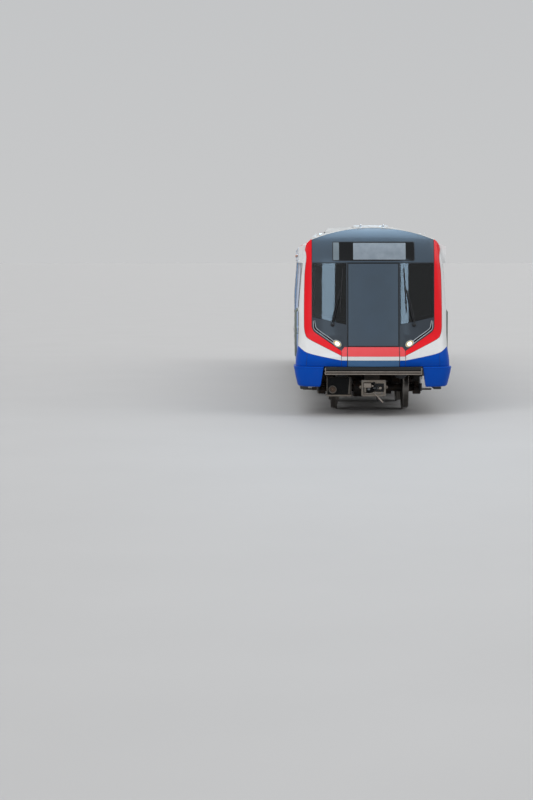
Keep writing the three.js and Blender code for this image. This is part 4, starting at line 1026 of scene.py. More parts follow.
def display():
    """Blank display in the dome: border, dotted field pale partly as painted reflection, margin in painted
    shade, and rim.
    """
    outer = rounded(-0.822, 0.834, 3.135, 3.519, 0.028)
    rim = rounded(-0.812, 0.824, 3.145, 3.509, 0.024)
    for name, lines, material, lift, thickness in (("border", [outer], "frit", 0.006, 0.006),
            ("matrix", [rounded(-0.405, 0.655, 3.16, 3.495, 0.012)], "matrix", 0.0075, 0.003),
            ("margin", [rounded(-0.808, -0.69, 3.15, 3.505, 0.012)], "shaded", 0.0075, 0.003),
            ("rim", [outer, rim], "plastic", 0.01, 0.006)):
        nose_panel(f"display_{name}", [front_line(1, line) for line in lines], material, lift=lift,
            thickness=thickness, pitch=0.04)


class Windscreens(Operator):
    """Black mask, windscreen panes with their borders, and the blank display over the door"""
    bl_idname = "metro_car.windscreens"
    bl_label = "Windscreens"

    def execute(self, context):
        for hand, side in SIDES.items():
            windscreen(hand, side)
        display()
        return {"FINISHED"}


class FrontDoorSkin(Operator):
    """Painted face and rubber seal of the emergency door at the front"""
    bl_idname = "metro_car.front_door_skin"
    bl_label = "Front door"

    def execute(self, context):
        face = front_line(1, [(-0.502, 1.426), (0.502, 1.426), (0.502, 3.076), (-0.502, 3.076)])
        nose_panel("front_door_face", [face], "slate", "front_door", pitch=0.055)
        seal = front_line(1, [(-0.51, 1.409), (0.51, 1.409), (0.51, 3.084), (-0.51, 3.084)])
        nose_panel("front_door_seal", [seal, face], "rubber", "front_door", 0.002, 0.006, 0.1)
        return {"FINISHED"}


def lamp_oval(long, short):
    """Tilted oval round the headlamp's centre, seen from the front."""
    points = []
    for k in range(28):
        angle = 2 * pi * k / 28
        a, b = long * cos(angle), short * sin(angle)
        points.append((LAMP_CENTRE[0] + a * cos(LAMP_TILT) + b * sin(LAMP_TILT),
            LAMP_CENTRE[1] - a * sin(LAMP_TILT) + b * cos(LAMP_TILT)))
    return points


def head_lamp(hand, side):
    """Housing, light guides, bulb and reflector of one side."""
    outside = smooth_line([(1.207, 1.925), (1.206, 1.855), (1.2, 1.775), (1.15, 1.716), (0.93, 1.56),
        (0.8, 1.466)], 4)
    inside = smooth_line([(0.79, 1.52), (0.9, 1.602), (1.06, 1.712), (1.142, 1.782), (1.162, 1.85),
        (1.176, 1.932)], 4)
    nose_panel(f"lamp_housing_{hand}", [front_line(side, outside + inside)], "frit", lift=0.009,
        thickness=0.006, pitch=0.04)
    centre = [((a[0] + b[0]) / 2, (a[1] + b[1]) / 2) for a, b in zip(outside, inside[::-1])]
    made = Builder()
    for line in (outside, inside[::-1]):
        path = []
        for p, c in zip(line, centre):
            x, z = p[0] + (c[0] - p[0]) * 0.1, p[1] + (c[1] - p[1]) * 0.1
            path.append(nose_point(on_front(side * x, z)[0], z, 0.012))
        made.tube(path, 0.0075, 8)
    made.piece(f"light_guide_{hand}", "guide", slot="front_slate")
    bulb = Builder()
    panel(bulb, [front_line(side, lamp_oval(0.05, 0.033))], nose_point, 0.016, 0.01, 0.03)
    bulb.piece(f"headlamp_{hand}", "headlamp", slot="front_slate")
    ring = Builder()
    oval = front_line(side, lamp_oval(0.088, 0.056))
    panel(ring, [oval], nose_point, 0.013, 0.009, 0.03)
    bead = [nose_point(s, z, 0.014) for s, z in oval]
    ring.tube(bead + bead[:2], 0.007, 8, 1)
    ring.piece(f"headlamp_reflector_{hand}", ["halo", "guide"], slot="stainless")


class HeadLamps(Operator):
    """Headlamps with their slanted light guides beside the front door"""
    bl_idname = "metro_car.head_lamps"
    bl_label = "Head lamps"

    def execute(self, context):
        for hand, side in SIDES.items():
            head_lamp(hand, side)
        return {"FINISHED"}


def wiper(hand, side):
    """Spindle, arm of two rods, and blade with its rubber."""
    def spot(x, z, lift):
        return nose_point(on_front(side * x, z)[0], z, lift)

    made = Builder()
    base = spot(0.82, 1.85, 0.004)
    outward = (spot(0.82, 1.85, 0.1) - base).normalized()
    made.lathe([(0, 0), (0, 0.042), (0.012, 0.042), (0.03, 0.026), (0.044, 0.024), (0.05, 0.014), (0.05, 0)],
        base, outward, 20)
    for shift in (-0.014, 0.014):
        arm = [spot(0.82 + shift, 1.85, 0.04), spot(0.806 + shift, 1.95, 0.05),
            spot(0.735 + shift, 2.26, 0.05), spot(0.664 + shift * 0.4, 2.56, 0.04)]
        made.tube(arm, 0.0085, 8)
    made.tube([spot(0.79, 1.99, 0.05), spot(0.76, 2.06, 0.05)], 0.013, 8)
    blade = [spot(0.668 - 0.06 * (z - 2.1), z, 0.03) for z in [2.1 + 0.088 * i for i in range(11)]]
    made.tube(blade, 0.01, 6)
    rubber = [spot(0.668 - 0.06 * (z - 2.1), z, 0.019) for z in [2.09 + 0.09 * i for i in range(11)]]
    made.tube(rubber, 0.0055, 6, 1)
    for z in (2.28, 2.56, 2.84):
        x = 0.668 - 0.06 * (z - 2.1)
        made.tube([spot(x, z - 0.03, 0.038), spot(x, z + 0.03, 0.038)], 0.012, 6)
    piece = made.piece(f"wiper_arm_{hand}", ["plastic", "rubber"], slot="wiper_black")
    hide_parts(f"wiper_{hand}")


class Wipers(Operator):
    """Windscreen wipers: spindle, twin-rod arm, blade with its rubber"""
    bl_idname = "metro_car.wipers"
    bl_label = "Wipers"

    def execute(self, context):
        for hand, side in SIDES.items():
            wiper(hand, side)
        return {"FINISHED"}


# Sides

def wall_sheet(builder, side, span, heights, offsets, group=0):
    """Solid on the side wall between two y, two heights and two offsets from the wall's outer face."""
    (y0, y1), (z0, z1), (inner, outer) = span, heights, offsets
    rows = [z0] + [z for z in (WAIST_Z, CANTRAIL_Z) if z0 < z < z1] + [z1]
    rings = []
    for z in rows:
        near, far = side * (wall_x(z) + inner), side * (wall_x(z) + outer)
        rings.append([(near, y0, z), (far, y0, z), (far, y1, z), (near, y1, z)])
    builder.stack(rings, group)


def wall_panel(builder, side, loops, lift, thickness, pitch=0.1, group=0):
    """Panel on the side wall from loops of (y, height)."""
    def place(y, z, off):
        return Vector((side * (wall_x(z) + off), y, z))

    panel(builder, loops, place, lift, thickness, pitch, group)


def glazing(builder, side, y0, y1, z0, z1, base=0.0):
    """Pane, as group 0, and its rubber, as group 1, in an opening. base is the face that carries them."""
    pane = bpy.context.scene.metro_sizes.pane
    gasket = bpy.context.scene.metro_sizes.gasket
    outer = rounded(y0 - 0.012, y1 + 0.012, z0 - 0.012, z1 + 0.012, 0.05)
    inner = rounded(y0 + gasket, y1 - gasket, z0 + gasket, z1 - gasket, 0.05)
    wall_panel(builder, side, [outer, inner], base + 0.0035, 0.014, 0.12, 1)
    wall_sheet(builder, side, (y0 + 0.002, y1 - 0.002), (z0 + 0.002, z1 - 0.002),
        (base - 0.004 - pane, base - 0.004))


def cab_door_fittings(hand, side):
    """Pane, black glass, rubber edges, handle and lock of a cab door."""
    door = Builder()
    glazing(door, side, -9.38, -8.97, 2.02, 2.82)
    for span, heights, offsets, group in (
        # black glass round the pane, and the rubber under it
        ((-9.478, -9.4), (2.172, 2.944), (-0.002, 0.003), 2),
        ((-8.945, -8.864), (2.172, 2.944), (-0.002, 0.003), 2),
        ((-9.4, -8.945), (2.842, 2.944), (-0.002, 0.003), 2),
        ((-9.478, -8.864), (1.99, 2.006), (-0.002, 0.004), 1),
        # rubber edges of the leaf
        ((-9.4835, -9.478), (1.2, 2.95), (-0.036, 0.002), 1),
        ((-8.864, -8.858), (1.2, 2.95), (-0.036, 0.002), 1),
        ((-9.478, -8.864), (2.946, 2.951), (-0.036, 0.002), 1),
        ((-9.478, -8.864), (1.197, 1.203), (-0.036, 0.002), 1),
    ):
        wall_sheet(door, side, span, heights, offsets, group)
    plate = rounded(-9.456, -9.376, 1.62, 1.8, 0.02)
    wall_panel(door, side, [plate], 0.005, 0.007, group=3)
    x = side * 1.505
    handle = ((0, 1.66), (0.034, 1.665), (0.034, 1.755), (0, 1.76))
    door.tube([(x + side * out, -9.416, z) for out, z in handle], 0.009, 10, 3)
    door.lathe([(0, 0), (0, 0.019), (0.006, 0.019), (0.009, 0.012), (0.009, 0)], (x, -9.416, 1.6),
        (side, 0, 0), 20, 3)
    door.piece(f"cab_door_fittings_{hand}", ["window", "rubber", "frit", "stainless"], f"cab_door_{hand}",
        "front_slate")


def cab_side_trim(hand, side):
    """Black glass, joints, frame and tread plate round a cab door."""
    wall = Builder()
    for span, heights, offsets, group in (
        # black glass beside and over the doorway
        ((NOSE_BACK_Y + 0.003, -9.5), (2.165, 3.079), (-0.001, 0.004), 0),
        ((-9.5, -8.846), (2.966, 3.079), (-0.001, 0.004), 0),
        ((-8.846, -8.7), (2.165, 3.079), (-0.001, 0.004), 0),
        # joints before and behind it
        ((-9.703, -9.697), (1.135, 3.088), (-0.004, 0.0045), 1),
        ((-8.693, -8.687), (1.135, 3.088), (-0.004, 0.0045), 1),
        # frame of the doorway
        ((-9.52, -9.5), (FLOOR_Z, 2.985), (-0.03, 0.006), 1),
        ((-8.85, -8.83), (FLOOR_Z, 2.985), (-0.03, 0.006), 1),
        ((-9.52, -8.83), (2.962, 2.985), (-0.03, 0.006), 1),
    ):
        wall_sheet(wall, side, span, heights, offsets, group)
    wall.slab(side, (1.395, 1.565), (-9.5, -8.85), (FLOOR_Z + 0.0005, 1.1935), 0.001, 2)
    wall.piece(f"cab_side_trim_{hand}", ["frit", "rubber", "stainless"], slot="front_slate")


def cab_grab_rails(hand, side):
    """Grab rails before and behind a cab door."""
    rails = Builder()
    for y in (-9.59, -8.765):
        x = side * 1.562
        path = [(side * wall_x(1.15), y, 1.15), (side * 1.535, y, 1.155), (x, y, 1.185)]
        path += [(x, y, z) for z in (1.4, 1.65, 1.9, 2.08)]
        path += [(side * 1.535, y, 2.125), (side * wall_x(2.13), y, 2.13)]
        rails.tube(path, 0.021, 12)
        for z in (1.15, 2.13):
            foot = [(0, 0), (0, 0.042), (0.01, 0.042), (0.016, 0.03), (0.016, 0)]
            rails.lathe(foot, (side * wall_x(z), y, z), (side, 0, 0), 18, 1)
        rails.slab(side, (1.5, 1.553), (y - 0.008, y + 0.008), (1.632, 1.648), 0.002)
    rails.piece(f"cab_grab_rails_{hand}", ["rail", "white"], slot="stainless")


def cab_steps(hand, side):
    """Two ribbed steps below a cab door, on their hangers."""
    steps = Builder()
    for z in (0.48, 0.76):
        steps.slab(side, (1.3, 1.47), (-9.44, -8.92), (z, z + 0.025), 0.004)
        for k in range(9):
            y = -9.42 + 0.06 * k
            steps.slab(side, (1.31, 1.46), (y, y + 0.012), (z + 0.024, z + 0.031), 0.002)
    for y in (-9.45, -8.93):
        hanger = ((1.31, 0.47), (1.46, 0.47), (1.46, 0.8), (1.45, 1.012), (1.32, 1.012))
        steps.prism([(side * x, y, z) for x, z in hanger], (0, 0.02, 0))
    steps.piece(f"cab_steps_{hand}", "case", slot="weathered_steel")


class CabSides(Operator):
    """Cab doors' windows and handles, black strips beside them, grab rails, steps and joint covers"""
    bl_idname = "metro_car.cab_sides"
    bl_label = "Cab sides"

    def execute(self, context):
        for hand, side in SIDES.items():
            cab_door_fittings(hand, side)
            cab_side_trim(hand, side)
            cab_grab_rails(hand, side)
            cab_steps(hand, side)
        return {"FINISHED"}


def side_window(hand, side, number, y):
    """Two panes of one bay, each with a slatted vent."""
    made = Builder()
    half = WINDOW_WIDTH / 2
    glazing(made, side, y - half, y + half, WINDOW_BOTTOM_Z, WINDOW_TOP_Z)
    heights = (WINDOW_BOTTOM_Z, WINDOW_TOP_Z)
    wall_sheet(made, side, (y - 0.017, y + 0.017), heights, (-0.006, 0.002), 1)
    for centre in (y - 0.47, y + 0.47):
        outer = rounded(centre - 0.4, centre + 0.4, 2.685, 2.852, 0.03)
        inner = rounded(centre - 0.382, centre + 0.382, 2.703, 2.834, 0.02)
        wall_panel(made, side, [outer, inner], 0.001, 0.006, 0.15, 1)
        for k in range(5):
            z = 2.716 + 0.024 * k
            wall_sheet(made, side, (centre - 0.378, centre + 0.378), (z, z + 0.01), (-0.003, 0.0), 1)
        wall_sheet(made, side, (centre - 0.05, centre + 0.05), (2.696, 2.712), (-0.002, 0.009), 2)
    made.piece(f"side_window_{hand}_{number}", ["veiled", "rubber", "plastic"], slot="front_slate")


def side_joints(hand, side):
    """Rubber joints between the wall's panels."""
    seams = Builder()
    for y in (-8.2, *JOINT_Y):
        wall_sheet(seams, side, (y - 0.003, y + 0.003), (1.14, 3.086), (-0.003, 0.0012))
    seams.piece(f"side_joints_{hand}", "rubber", slot="body_silver")


def door_thresholds(hand, side):
    """Lifting plates and door sills along the sole."""
    sole = Builder()
    for y in (-8.0, -4.4, -3.0, 0.4, 1.8, 5.2, 6.6, 10.0):
        sole.slab(side, (1.556, 1.566), (y - 0.04, y + 0.04), (1.035, 1.105), 0.003)
    for y in DOORWAY_Y.values():
        sole.slab(side, (1.558, 1.572), (y - 0.71, y + 0.71), (1.052, 1.127), 0.003)
        for k in range(3):
            z = 1.062 + 0.022 * k
            reach = 1.576 if side > 0 else 1.572
            sole.slab(side, (1.558, reach), (y - 0.7, y + 0.7), (z, z + 0.009), 0.002)
    sole.piece(f"door_thresholds_{hand}", "stainless", slot="stainless")


def header_covers(hand, side):
    """Bolted covers over the door gear, with door lamps."""
    header = Builder()
    edges = [-9.69, -8.72, *JOINT_Y, 10.49]
    for y0, y1 in zip(edges, edges[1:]):
        header.slab(side, (1.4945, 1.499), (y0 + 0.004, y1 - 0.004), (3.102, 3.42), 0.0015)
        count = max(2, round((y1 - y0) / 0.6))
        for k in range(count):
            y = y0 + 0.12 + k * (y1 - y0 - 0.24) / (count - 1)
            header.bolts([(side * 1.499, y, z) for z in (3.13, 3.39)], (side, 0, 0), 0.009, 0.003, 1)
    for y in DOORWAY_Y.values():
        lamp = (side * 1.498, y + 0.62, 3.26)
        header.lathe([(0, 0), (0, 0.034), (0.012, 0.034), (0.02, 0.024), (0.022, 0)], lamp, (side, 0, 0), 20,
            2)
        header.lathe([(0, 0.034), (0.01, 0.04), (0.014, 0.046), (0, 0.046), (0, 0.034)], lamp, (side, 0, 0),
            20, 1)
    header.piece(f"header_covers_{hand}", ["film", "stainless", "amber"], slot="body_silver")


class SideWindows(Operator):
    """Saloon windows with their vents, joints of the side film, door sills and covers over the doors"""
    bl_idname = "metro_car.side_windows"
    bl_label = "Side windows"

    def execute(self, context):
        for hand, side in SIDES.items():
            for number, y in BAY_Y.items():
                side_window(hand, side, number, y)
            side_joints(hand, side)
            door_thresholds(hand, side)
            header_covers(hand, side)
        return {"FINISHED"}


def leaf_fittings(hand, side, number, y, place, way):
    """Pane, rubber edges, kick plate and push-button of a sliding leaf."""
    face = LEAF_FACE
    made = Builder()
    centre = y + way * DOORWAY_WIDTH / 4
    glazing(made, side, centre - 0.21, centre + 0.21, WINDOW_BOTTOM_Z, WINDOW_TOP_Z, face)
    edge = sorted((y + way * 0.0028, y + way * 0.046))
    wall_sheet(made, side, edge, (1.134, 3.076), (0.0065, face + 0.0025), 1)
    outer = sorted((y + way * 0.69, y + way * 0.722))
    wall_sheet(made, side, outer, (1.134, 3.076), (face - 0.002, face + 0.002), 1)
    kick = sorted((y + way * 0.055, y + way * 0.68))
    wall_sheet(made, side, kick, (1.15, 1.33), (face - 0.001, face + 0.0012), 4)
    x = side * (WALL_X + face)
    spot = (x, y + way * 0.105, 1.62)
    made.lathe([(0, 0), (0, 0.046), (0.003, 0.046), (0.008, 0.04), (0.008, 0.03), (0.004, 0.028), (0.004, 0)],
        spot, (side, 0, 0), 24, 1)
    made.lathe([(0.003, 0), (0.003, 0.024), (0.01, 0.022), (0.012, 0)], spot, (side, 0, 0), 20, 3)
    leaf = f"{hand}_{number}_{place}"
    made.piece(f"door_fittings_{leaf}", ["window", "rubber", "stainless", "amber", "film"], f"door_{leaf}",
        "front_slate")


class SaloonDoors(Operator):
    """Glass, rubber edges, kick plates and push-buttons of the sliding doors"""
    bl_idname = "metro_car.saloon_doors"
    bl_label = "Saloon doors"

    def execute(self, context):
        for hand, side in SIDES.items():
            for number, y in DOORWAY_Y.items():
                for place, way in (("front", -1), ("rear", 1)):
                    leaf_fittings(hand, side, number, y, place, way)
        return {"FINISHED"}


# Roof

def fan(unit, place):
    """Fan in the top of a cooling unit: ring, hub, blades and wire guard."""
    x, y, z = place
    ring = [(0, 0.235), (0, 0.3), (0.01, 0.3), (0.02, 0.285), (0.02, 0.25), (0.012, 0.235), (0, 0.235)]
    unit.lathe(ring, place, UP, 36)
    unit.lathe([(-0.001, 0), (-0.001, 0.238), (0.0015, 0.238), (0.0015, 0)], place, UP, 36, 1)
    unit.lathe([(0.001, 0), (0.001, 0.062), (0.012, 0.058), (0.015, 0)], place, UP, 20, 1)
    for k in range(7):
        angle = 2 * pi * k / 7
        along = Vector((cos(angle), sin(angle), 0))
        across = Vector((-sin(angle), cos(angle), 0))
        centre = Vector(place)
        blade = []
        for reach, half in ((0.055, 0.02), (0.225, 0.055)):
            ends = ((-half, 0.003), (half, 0.009), (half, 0.011), (-half, 0.005))
            blade.append([centre + along * reach + across * a + Vector((0, 0, h)) for a, h in ends])
        unit.stack(blade)
    for radius in (0.09, 0.14, 0.19, 0.24):
        circle = [(x + radius * cos(t), y + radius * sin(t), z + 0.019)
            for t in [2 * pi * k / 24 for k in range(25)]]
        unit.tube(circle, 0.0028, 5, 2)
    for k in range(4):
        angle = pi * k / 4
        dx, dy = 0.25 * cos(angle), 0.25 * sin(angle)
        unit.tube([(x - dx, y - dy, z + 0.017), (x + dx, y + dy, z + 0.017)], 0.003, 5, 2)


def roof_fins():
    """Fins along the roof's edges, and cable trays between them."""
    fins = Builder()
    for side in SIDES.values():
        for k in range(16):
            y = -9.1 + 1.28 * k
            x = side * 1.13
            low = roof_z(x) - 0.006
            wide = 0.006
            fin = ((-0.09, 0), (0.09, 0), (0.045, 0.095), (-0.045, 0.095))
            fins.prism([(x - wide, y + along, low + up) for along, up in fin], (2 * wide, 0, 0))
            fins.box((x - 0.035, y - 0.1, low), (x + 0.035, y + 0.1, low + 0.014), 0.003)
        for y0, y1 in ((-9.5, -5.6), (-1.8, 4.0), (7.8, 10.3)):
            x = side * 0.98
            low = roof_z(x)
            fins.box((x - 0.05, y0, low - 0.02), (x + 0.05, y1, low + 0.03), 0.006)
    fins.piece("roof_fins_and_trays", "unit", slot="roof_white")


def roof_covers():
    """Bolted covers, aerials and lifting eyes."""
    top = Builder()
    for y0, y1, half in ((-9.25, -8.15, 0.36), (-1.55, -0.55, 0.52), (-0.35, 1.75, 0.46), (2.1, 3.6, 0.52),
            (8.3, 9.9, 0.5)):
        low = roof_z(half)
        rings = []
        for z, inset in ((low - 0.02, 0), (ROOF_TOP_Z + 0.03, 0), (ROOF_TOP_Z + 0.048, 0.022)):
            rings.append([(-half + inset, y0 + inset, z), (half - inset, y0 + inset, z),
                (half - inset, y1 - inset, z), (-half + inset, y1 - inset, z)])
        top.stack(rings)
        for x in (-half * 0.55, half * 0.55):
            top.box((x - 0.02, y0 - 0.012, ROOF_TOP_Z - 0.02), (x + 0.02, y0 + 0.004, ROOF_TOP_Z + 0.03),
                0.003, 1)
        rows = (y0 + 0.06, (y0 + y1) / 2, y1 - 0.06)
        top.bolts([(x, y, ROOF_TOP_Z + 0.047) for x in (-half + 0.05, half - 0.05) for y in rows], UP, 0.012,
            0.006, 1)
    for x, y in ((-0.22, -9.5), (0.25, -9.42)):
        base = roof_z(x)
        top.lathe([(-0.01, 0), (-0.01, 0.06), (0.014, 0.058), (0.022, 0.03), (0.062, 0.022), (0.07, 0.012),
            (0.072, 0)], (x, y, base), UP, 20, 1)
    for side in SIDES.values():
        for y in (-7.5, 7.5):
            x = side * 1.02
            top.lathe([(0.01, 0.03), (0.02, 0.052), (-0.02, 0.052), (-0.01, 0.03), (0.01, 0.03)],
                (x, y, roof_z(x) + 0.03), (1, 0, 0), 20, 1)
    top.piece("roof_covers", ["unit", "stainless"], slot="roof_white")


def cooling_unit(place, y):
    """Fans, middle grilles, side louvres and feet of a cooling unit."""
    unit = Builder()
    for end in (-1, 1):
        for centre in (0.62, 1.32):
            for x in (-0.4, 0.4):
                fan(unit, (x, y + end * centre, UNIT_TOP_Z))
    for x0, x1 in ((-0.8, -0.02), (0.02, 0.8)):
        unit.box((x0 + 0.02, y - 0.24, 3.874), (x1 - 0.02, y + 0.24, 3.888), 0.004)
        for k in range(12):
            slat = y - 0.22 + 0.038 * k
            unit.box((x0 + 0.05, slat, 3.886), (x1 - 0.05, slat + 0.016, 3.893), 0.002, 1)
    for side in SIDES.values():
        for k in range(28):
            pos = y - 1.6 + 0.115 * k
            unit.slab(side, (0.873, 0.889), (pos, pos + 0.06), (3.722, 3.792), 0.004, 1)
            lip = (0.873, 0.885) if side > 0 else (0.869, 0.889)
            unit.slab(side, lip, (pos - 0.006, pos + 0.066), (3.714, 3.72))
        for k in range(5):
            pos = y - 1.68 + 0.84 * k
            unit.slab(side, (0.86, 0.93), (pos - 0.035, pos + 0.035), (3.68, 3.716), 0.004, 1)
    unit.piece(f"cooling_unit_{place}_details", ["unit", "plastic", "stainless"], slot="roof_grey")


class RoofGear(Operator):
    """Roof fins, cable trays, aerials, lifting eyes and the fans and grilles of the cooling units"""
    bl_idname = "metro_car.roof_gear"
    bl_label = "Roof gear"

    def execute(self, context):
        roof_fins()
        roof_covers()
        for place, y in (("front", -3.7), ("rear", 5.9)):
            cooling_unit(place, y)
        return {"FINISHED"}


# Running gear

def wheelset(place, name, y):
    """Axle, two wheels with smooth treads, and brake discs."""
    top = AXLE_Z - 0.0004
    made = Builder()
    centre = (0, y, AXLE_Z)
    for side in SIDES.values():
        axis = (side, 0, 0)
        rim = [(0.68, 0.372), (0.68, 0.436), (0.684, top - 0.006), (0.692, top), (0.7, top),
            (0.707, top - 0.006), (0.714, 0.434), (0.722, 0.4275), (0.74, 0.4262), (0.806, 0.4245),
            (0.815, 0.416), (0.815, 0.372), (0.68, 0.372)]
        made.lathe(rim, centre, axis, 64, 0)
        web = [(0.69, 0.373), (0.704, 0.345), (0.738, 0.29), (0.742, 0.2), (0.722, 0.15), (0.69, 0.14),
            (0.69, 0.086), (0.822, 0.086), (0.822, 0.132), (0.79, 0.15), (0.774, 0.2), (0.77, 0.29),
            (0.79, 0.345), (0.806, 0.373), (0.69, 0.373)]
        made.lathe(web, centre, axis, 48, 1)
        disc = [(0.771, 0.215), (0.788, 0.215), (0.794, 0.222), (0.794, 0.332), (0.788, 0.338),
            (0.771, 0.338), (0.771, 0.215)]
        made.lathe(disc, centre, axis, 48, 0)
        ring = [(side * 0.794, centre[1] + 0.235 * cos(t), AXLE_Z + 0.235 * sin(t))
            for t in [pi * k / 6 for k in range(12)]]
        made.bolts(ring, axis, 0.014, 0.01, 2)
    axle = [(-1.06, 0), (-1.06, 0.079), (-0.84, 0.079), (-0.83, 0.084), (-0.64, 0.084), (-0.6, 0.076),
        (0.6, 0.076), (0.64, 0.084), (0.83, 0.084), (0.84, 0.079), (1.06, 0.079), (1.06, 0)]
    made.lathe(axle, centre, (1, 0, 0), 32, 1)
    piece = made.piece(f"wheels_{place}_{name}", ["tread", "bogie", "bolt"], f"wheelset_{place}_{name}",
        "wheel_steel")
    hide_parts(f"wheelset_{place}_{name}")


class Wheelsets(Operator):
    """Axles, wheels with smooth treads and webs, and brake discs"""
    bl_idname = "metro_car.wheelsets"
    bl_label = "Wheelsets"

    def execute(self, context):
        for place, bogie_y in BOGIE_Y.items():
            for name, way in (("leading", -1), ("trailing", 1)):
                wheelset(place, name, bogie_y + way * HALF_WHEELBASE)
        return {"FINISHED"}


def coil(made, base, height, radius, wire, turns=4):
    """Coil spring of an axle box."""
    points = []
    for k in range(turns * 12 + 1):
        angle = 2 * pi * k / 12
        points.append((base[0] + radius * cos(angle), base[1] + radius * sin(angle),
            base[2] + height * k / (turns * 12)))
    made.tube(points, wire, 7)


def bogie_trim(place, bogie_y):
    """Axle box covers, springs, dampers, brakes, lifeguards and collectors of a bogie."""
    made = Builder()
    for side in SIDES.values():
        x = side * 1.0
        for way in (-1, 1):
            y = bogie_y + way * HALF_WHEELBASE
            cover = [(1.07, 0), (1.07, 0.126), (1.084, 0.126), (1.092, 0.112), (1.092, 0.08), (1.104, 0.072),
                (1.108, 0)]
            made.lathe(cover, (0, y, AXLE_Z), (side, 0, 0), 28, 1)
            angles = [pi * (k + 0.5) / 3 for k in range(6)]
            points = [(side * 1.086, y + 0.104 * cos(t), AXLE_Z + 0.104 * sin(t)) for t in angles]
            made.bolts(points, (side, 0, 0), 0.011, 0.012, 2)
            for end in (-1, 1):
                coil(made, (x, y + end * 0.175, 0.43), 0.17, 0.058, 0.013)
                seat = y + end * 0.175
                made.slab(side, (0.925, 1.075), (seat - 0.07, seat + 0.07), (0.398, 0.42), 0.004)
                made.slab(side, (0.95, 1.05), sorted((y, y + end * 0.23)), (0.412, 0.47), 0.004)
            # damper beside the springs: body, then rod
            for z0, z1, radius, count, group in ((0.4, 0.56, 0.034, 14, 3), (0.55, 0.7, 0.024, 12, 4)):
                made.tube([(side * 1.07, y + way * 0.262, z) for z in (z0, z1)], radius, count, group)
        for z, radius in ((0.7, 0.262), (0.79, 0.268), (0.88, 0.262)):
            bulge = [(-0.04, 0.2), (-0.034, radius - 0.02), (-0.012, radius), (0.012, radius),
                (0.034, radius - 0.02), (0.04, 0.2), (-0.04, 0.2)]
            made.lathe(bulge, (x, bogie_y, z), UP, 40, 3)
        made.lathe([(0.925, 0.24), (0.925, 0.288), (0.95, 0.288), (0.95, 0.24), (0.925, 0.24)],
            (x, bogie_y, 0), UP, 40, 1)
        for ends, radius, count, group in (((-0.62, 0.1), 0.042, 16, 3), ((0.08, 0.62), 0.026, 14, 4)):
            made.tube([(side * 1.115, bogie_y + end, 0.665) for end in ends], radius, count, group)
        for y in (bogie_y - 0.64, bogie_y + 0.64):
            made.slab(side, (1.05, 1.16), (y - 0.045, y + 0.045), (0.6, 0.715), 0.008)
        for way in (-1, 1):
            y = bogie_y + way * 0.56
            made.lathe([(-0.09, 0), (-0.09, 0.085), (0.07, 0.085), (0.1, 0.05), (0.11, 0)],
                (side * 0.83, y, 0.6), (0, way, 0), 24, 1)
            guard = bogie_y + way * 1.315
            made.slab(side, (0.69, 0.8), (guard - 0.012, guard + 0.012), (0.085, 0.3), 0.004)
            made.slab(side, (0.715, 0.775), (guard - 0.01, guard + 0.01), (0.29, 0.62), 0.004)
            made.slab(side, (0.72, 0.95), (guard - 0.02, guard + 0.02), (0.59, 0.64), 0.004)
        made.slab(side, (1.2, 1.405), (bogie_y - 0.115, bogie_y + 0.115), (0.352, 0.362), 0.002, 2)
        made.slab(side, (1.045, 1.13), (bogie_y - 0.15, bogie_y + 0.15), (0.38, 0.52), 0.01)
        made.bolts([(side * 1.13, bogie_y + dy, dz) for dy in (-0.11, 0.11) for dz in (0.41, 0.49)],
            (side, 0, 0), 0.012, 0.01, 2)
    made.piece(f"bogie_gear_{place}", ["bogie", "casting", "bolt", "plastic", "stainless"], f"bogie_{place}",
        "bogie_paint")


class BogieGear(Operator):
    """Springs, dampers, axle box covers, brake units, lifeguards and current collectors of the bogies"""
    bl_idname = "metro_car.bogie_gear"
    bl_label = "Bogie gear"

    def execute(self, context):
        for place, bogie_y in BOGIE_Y.items():
            bogie_trim(place, bogie_y)
        return {"FINISHED"}


# Front end below the nose

def square(x0, x1, z0, z1, y):
    """Rectangle in x and z at one y, as a ring of points."""
    return [(x0, y, z0), (x1, y, z0), (x1, y, z1), (x0, y, z1)]


SKIRT_LEAN = (
    # height, how far a corner skirt leans in; less than nothing stands out past the body
    (1.0085, 0.01), (1.002, -0.03), (0.99, -0.038), (0.978, -0.039), (0.971, -0.033), (0.9, -0.022),
    (0.8, -0.003), (0.7, 0.02), (0.65, 0.033), (0.625, 0.041), (0.605, 0.052), (0.592, 0.076),
    (0.586, 0.12),
)
SKIRT_CORNER = 0.08


def skirt_ring(side, z, lean):
    """Closed line round a corner skirt at one height, outside and inside."""
    scale = (SOLE_X - lean) / SOLE_X
    low = clamp((SKIRT_LEAN[-1][0] + SKIRT_CORNER - z) / SKIRT_CORNER, 0, 1)
    round_off = SKIRT_CORNER * (1 - sqrt(1 - low * low))
    edge = 1.005 + 0.058 * clamp((0.998 - z) / 0.386, 0, 1) + 0.35 * round_off
    start = on_front(edge / scale, SOLE_BOTTOM_Z)[0]
    end = on_side(1, -9.722 - 0.9 * lean - round_off, SOLE_BOTTOM_Z)[0]
    ring = []
    for lift, order in ((0.004, 1), (-0.034, -1)):
        row = []
        for k in range(41):
            point = nose_point(side * (start + (end - start) * k / 40), SOLE_BOTTOM_Z, lift)
            row.append((point.x * scale, point.y + 0.9 * lean, z))
        ring += row[::order]
    return ring


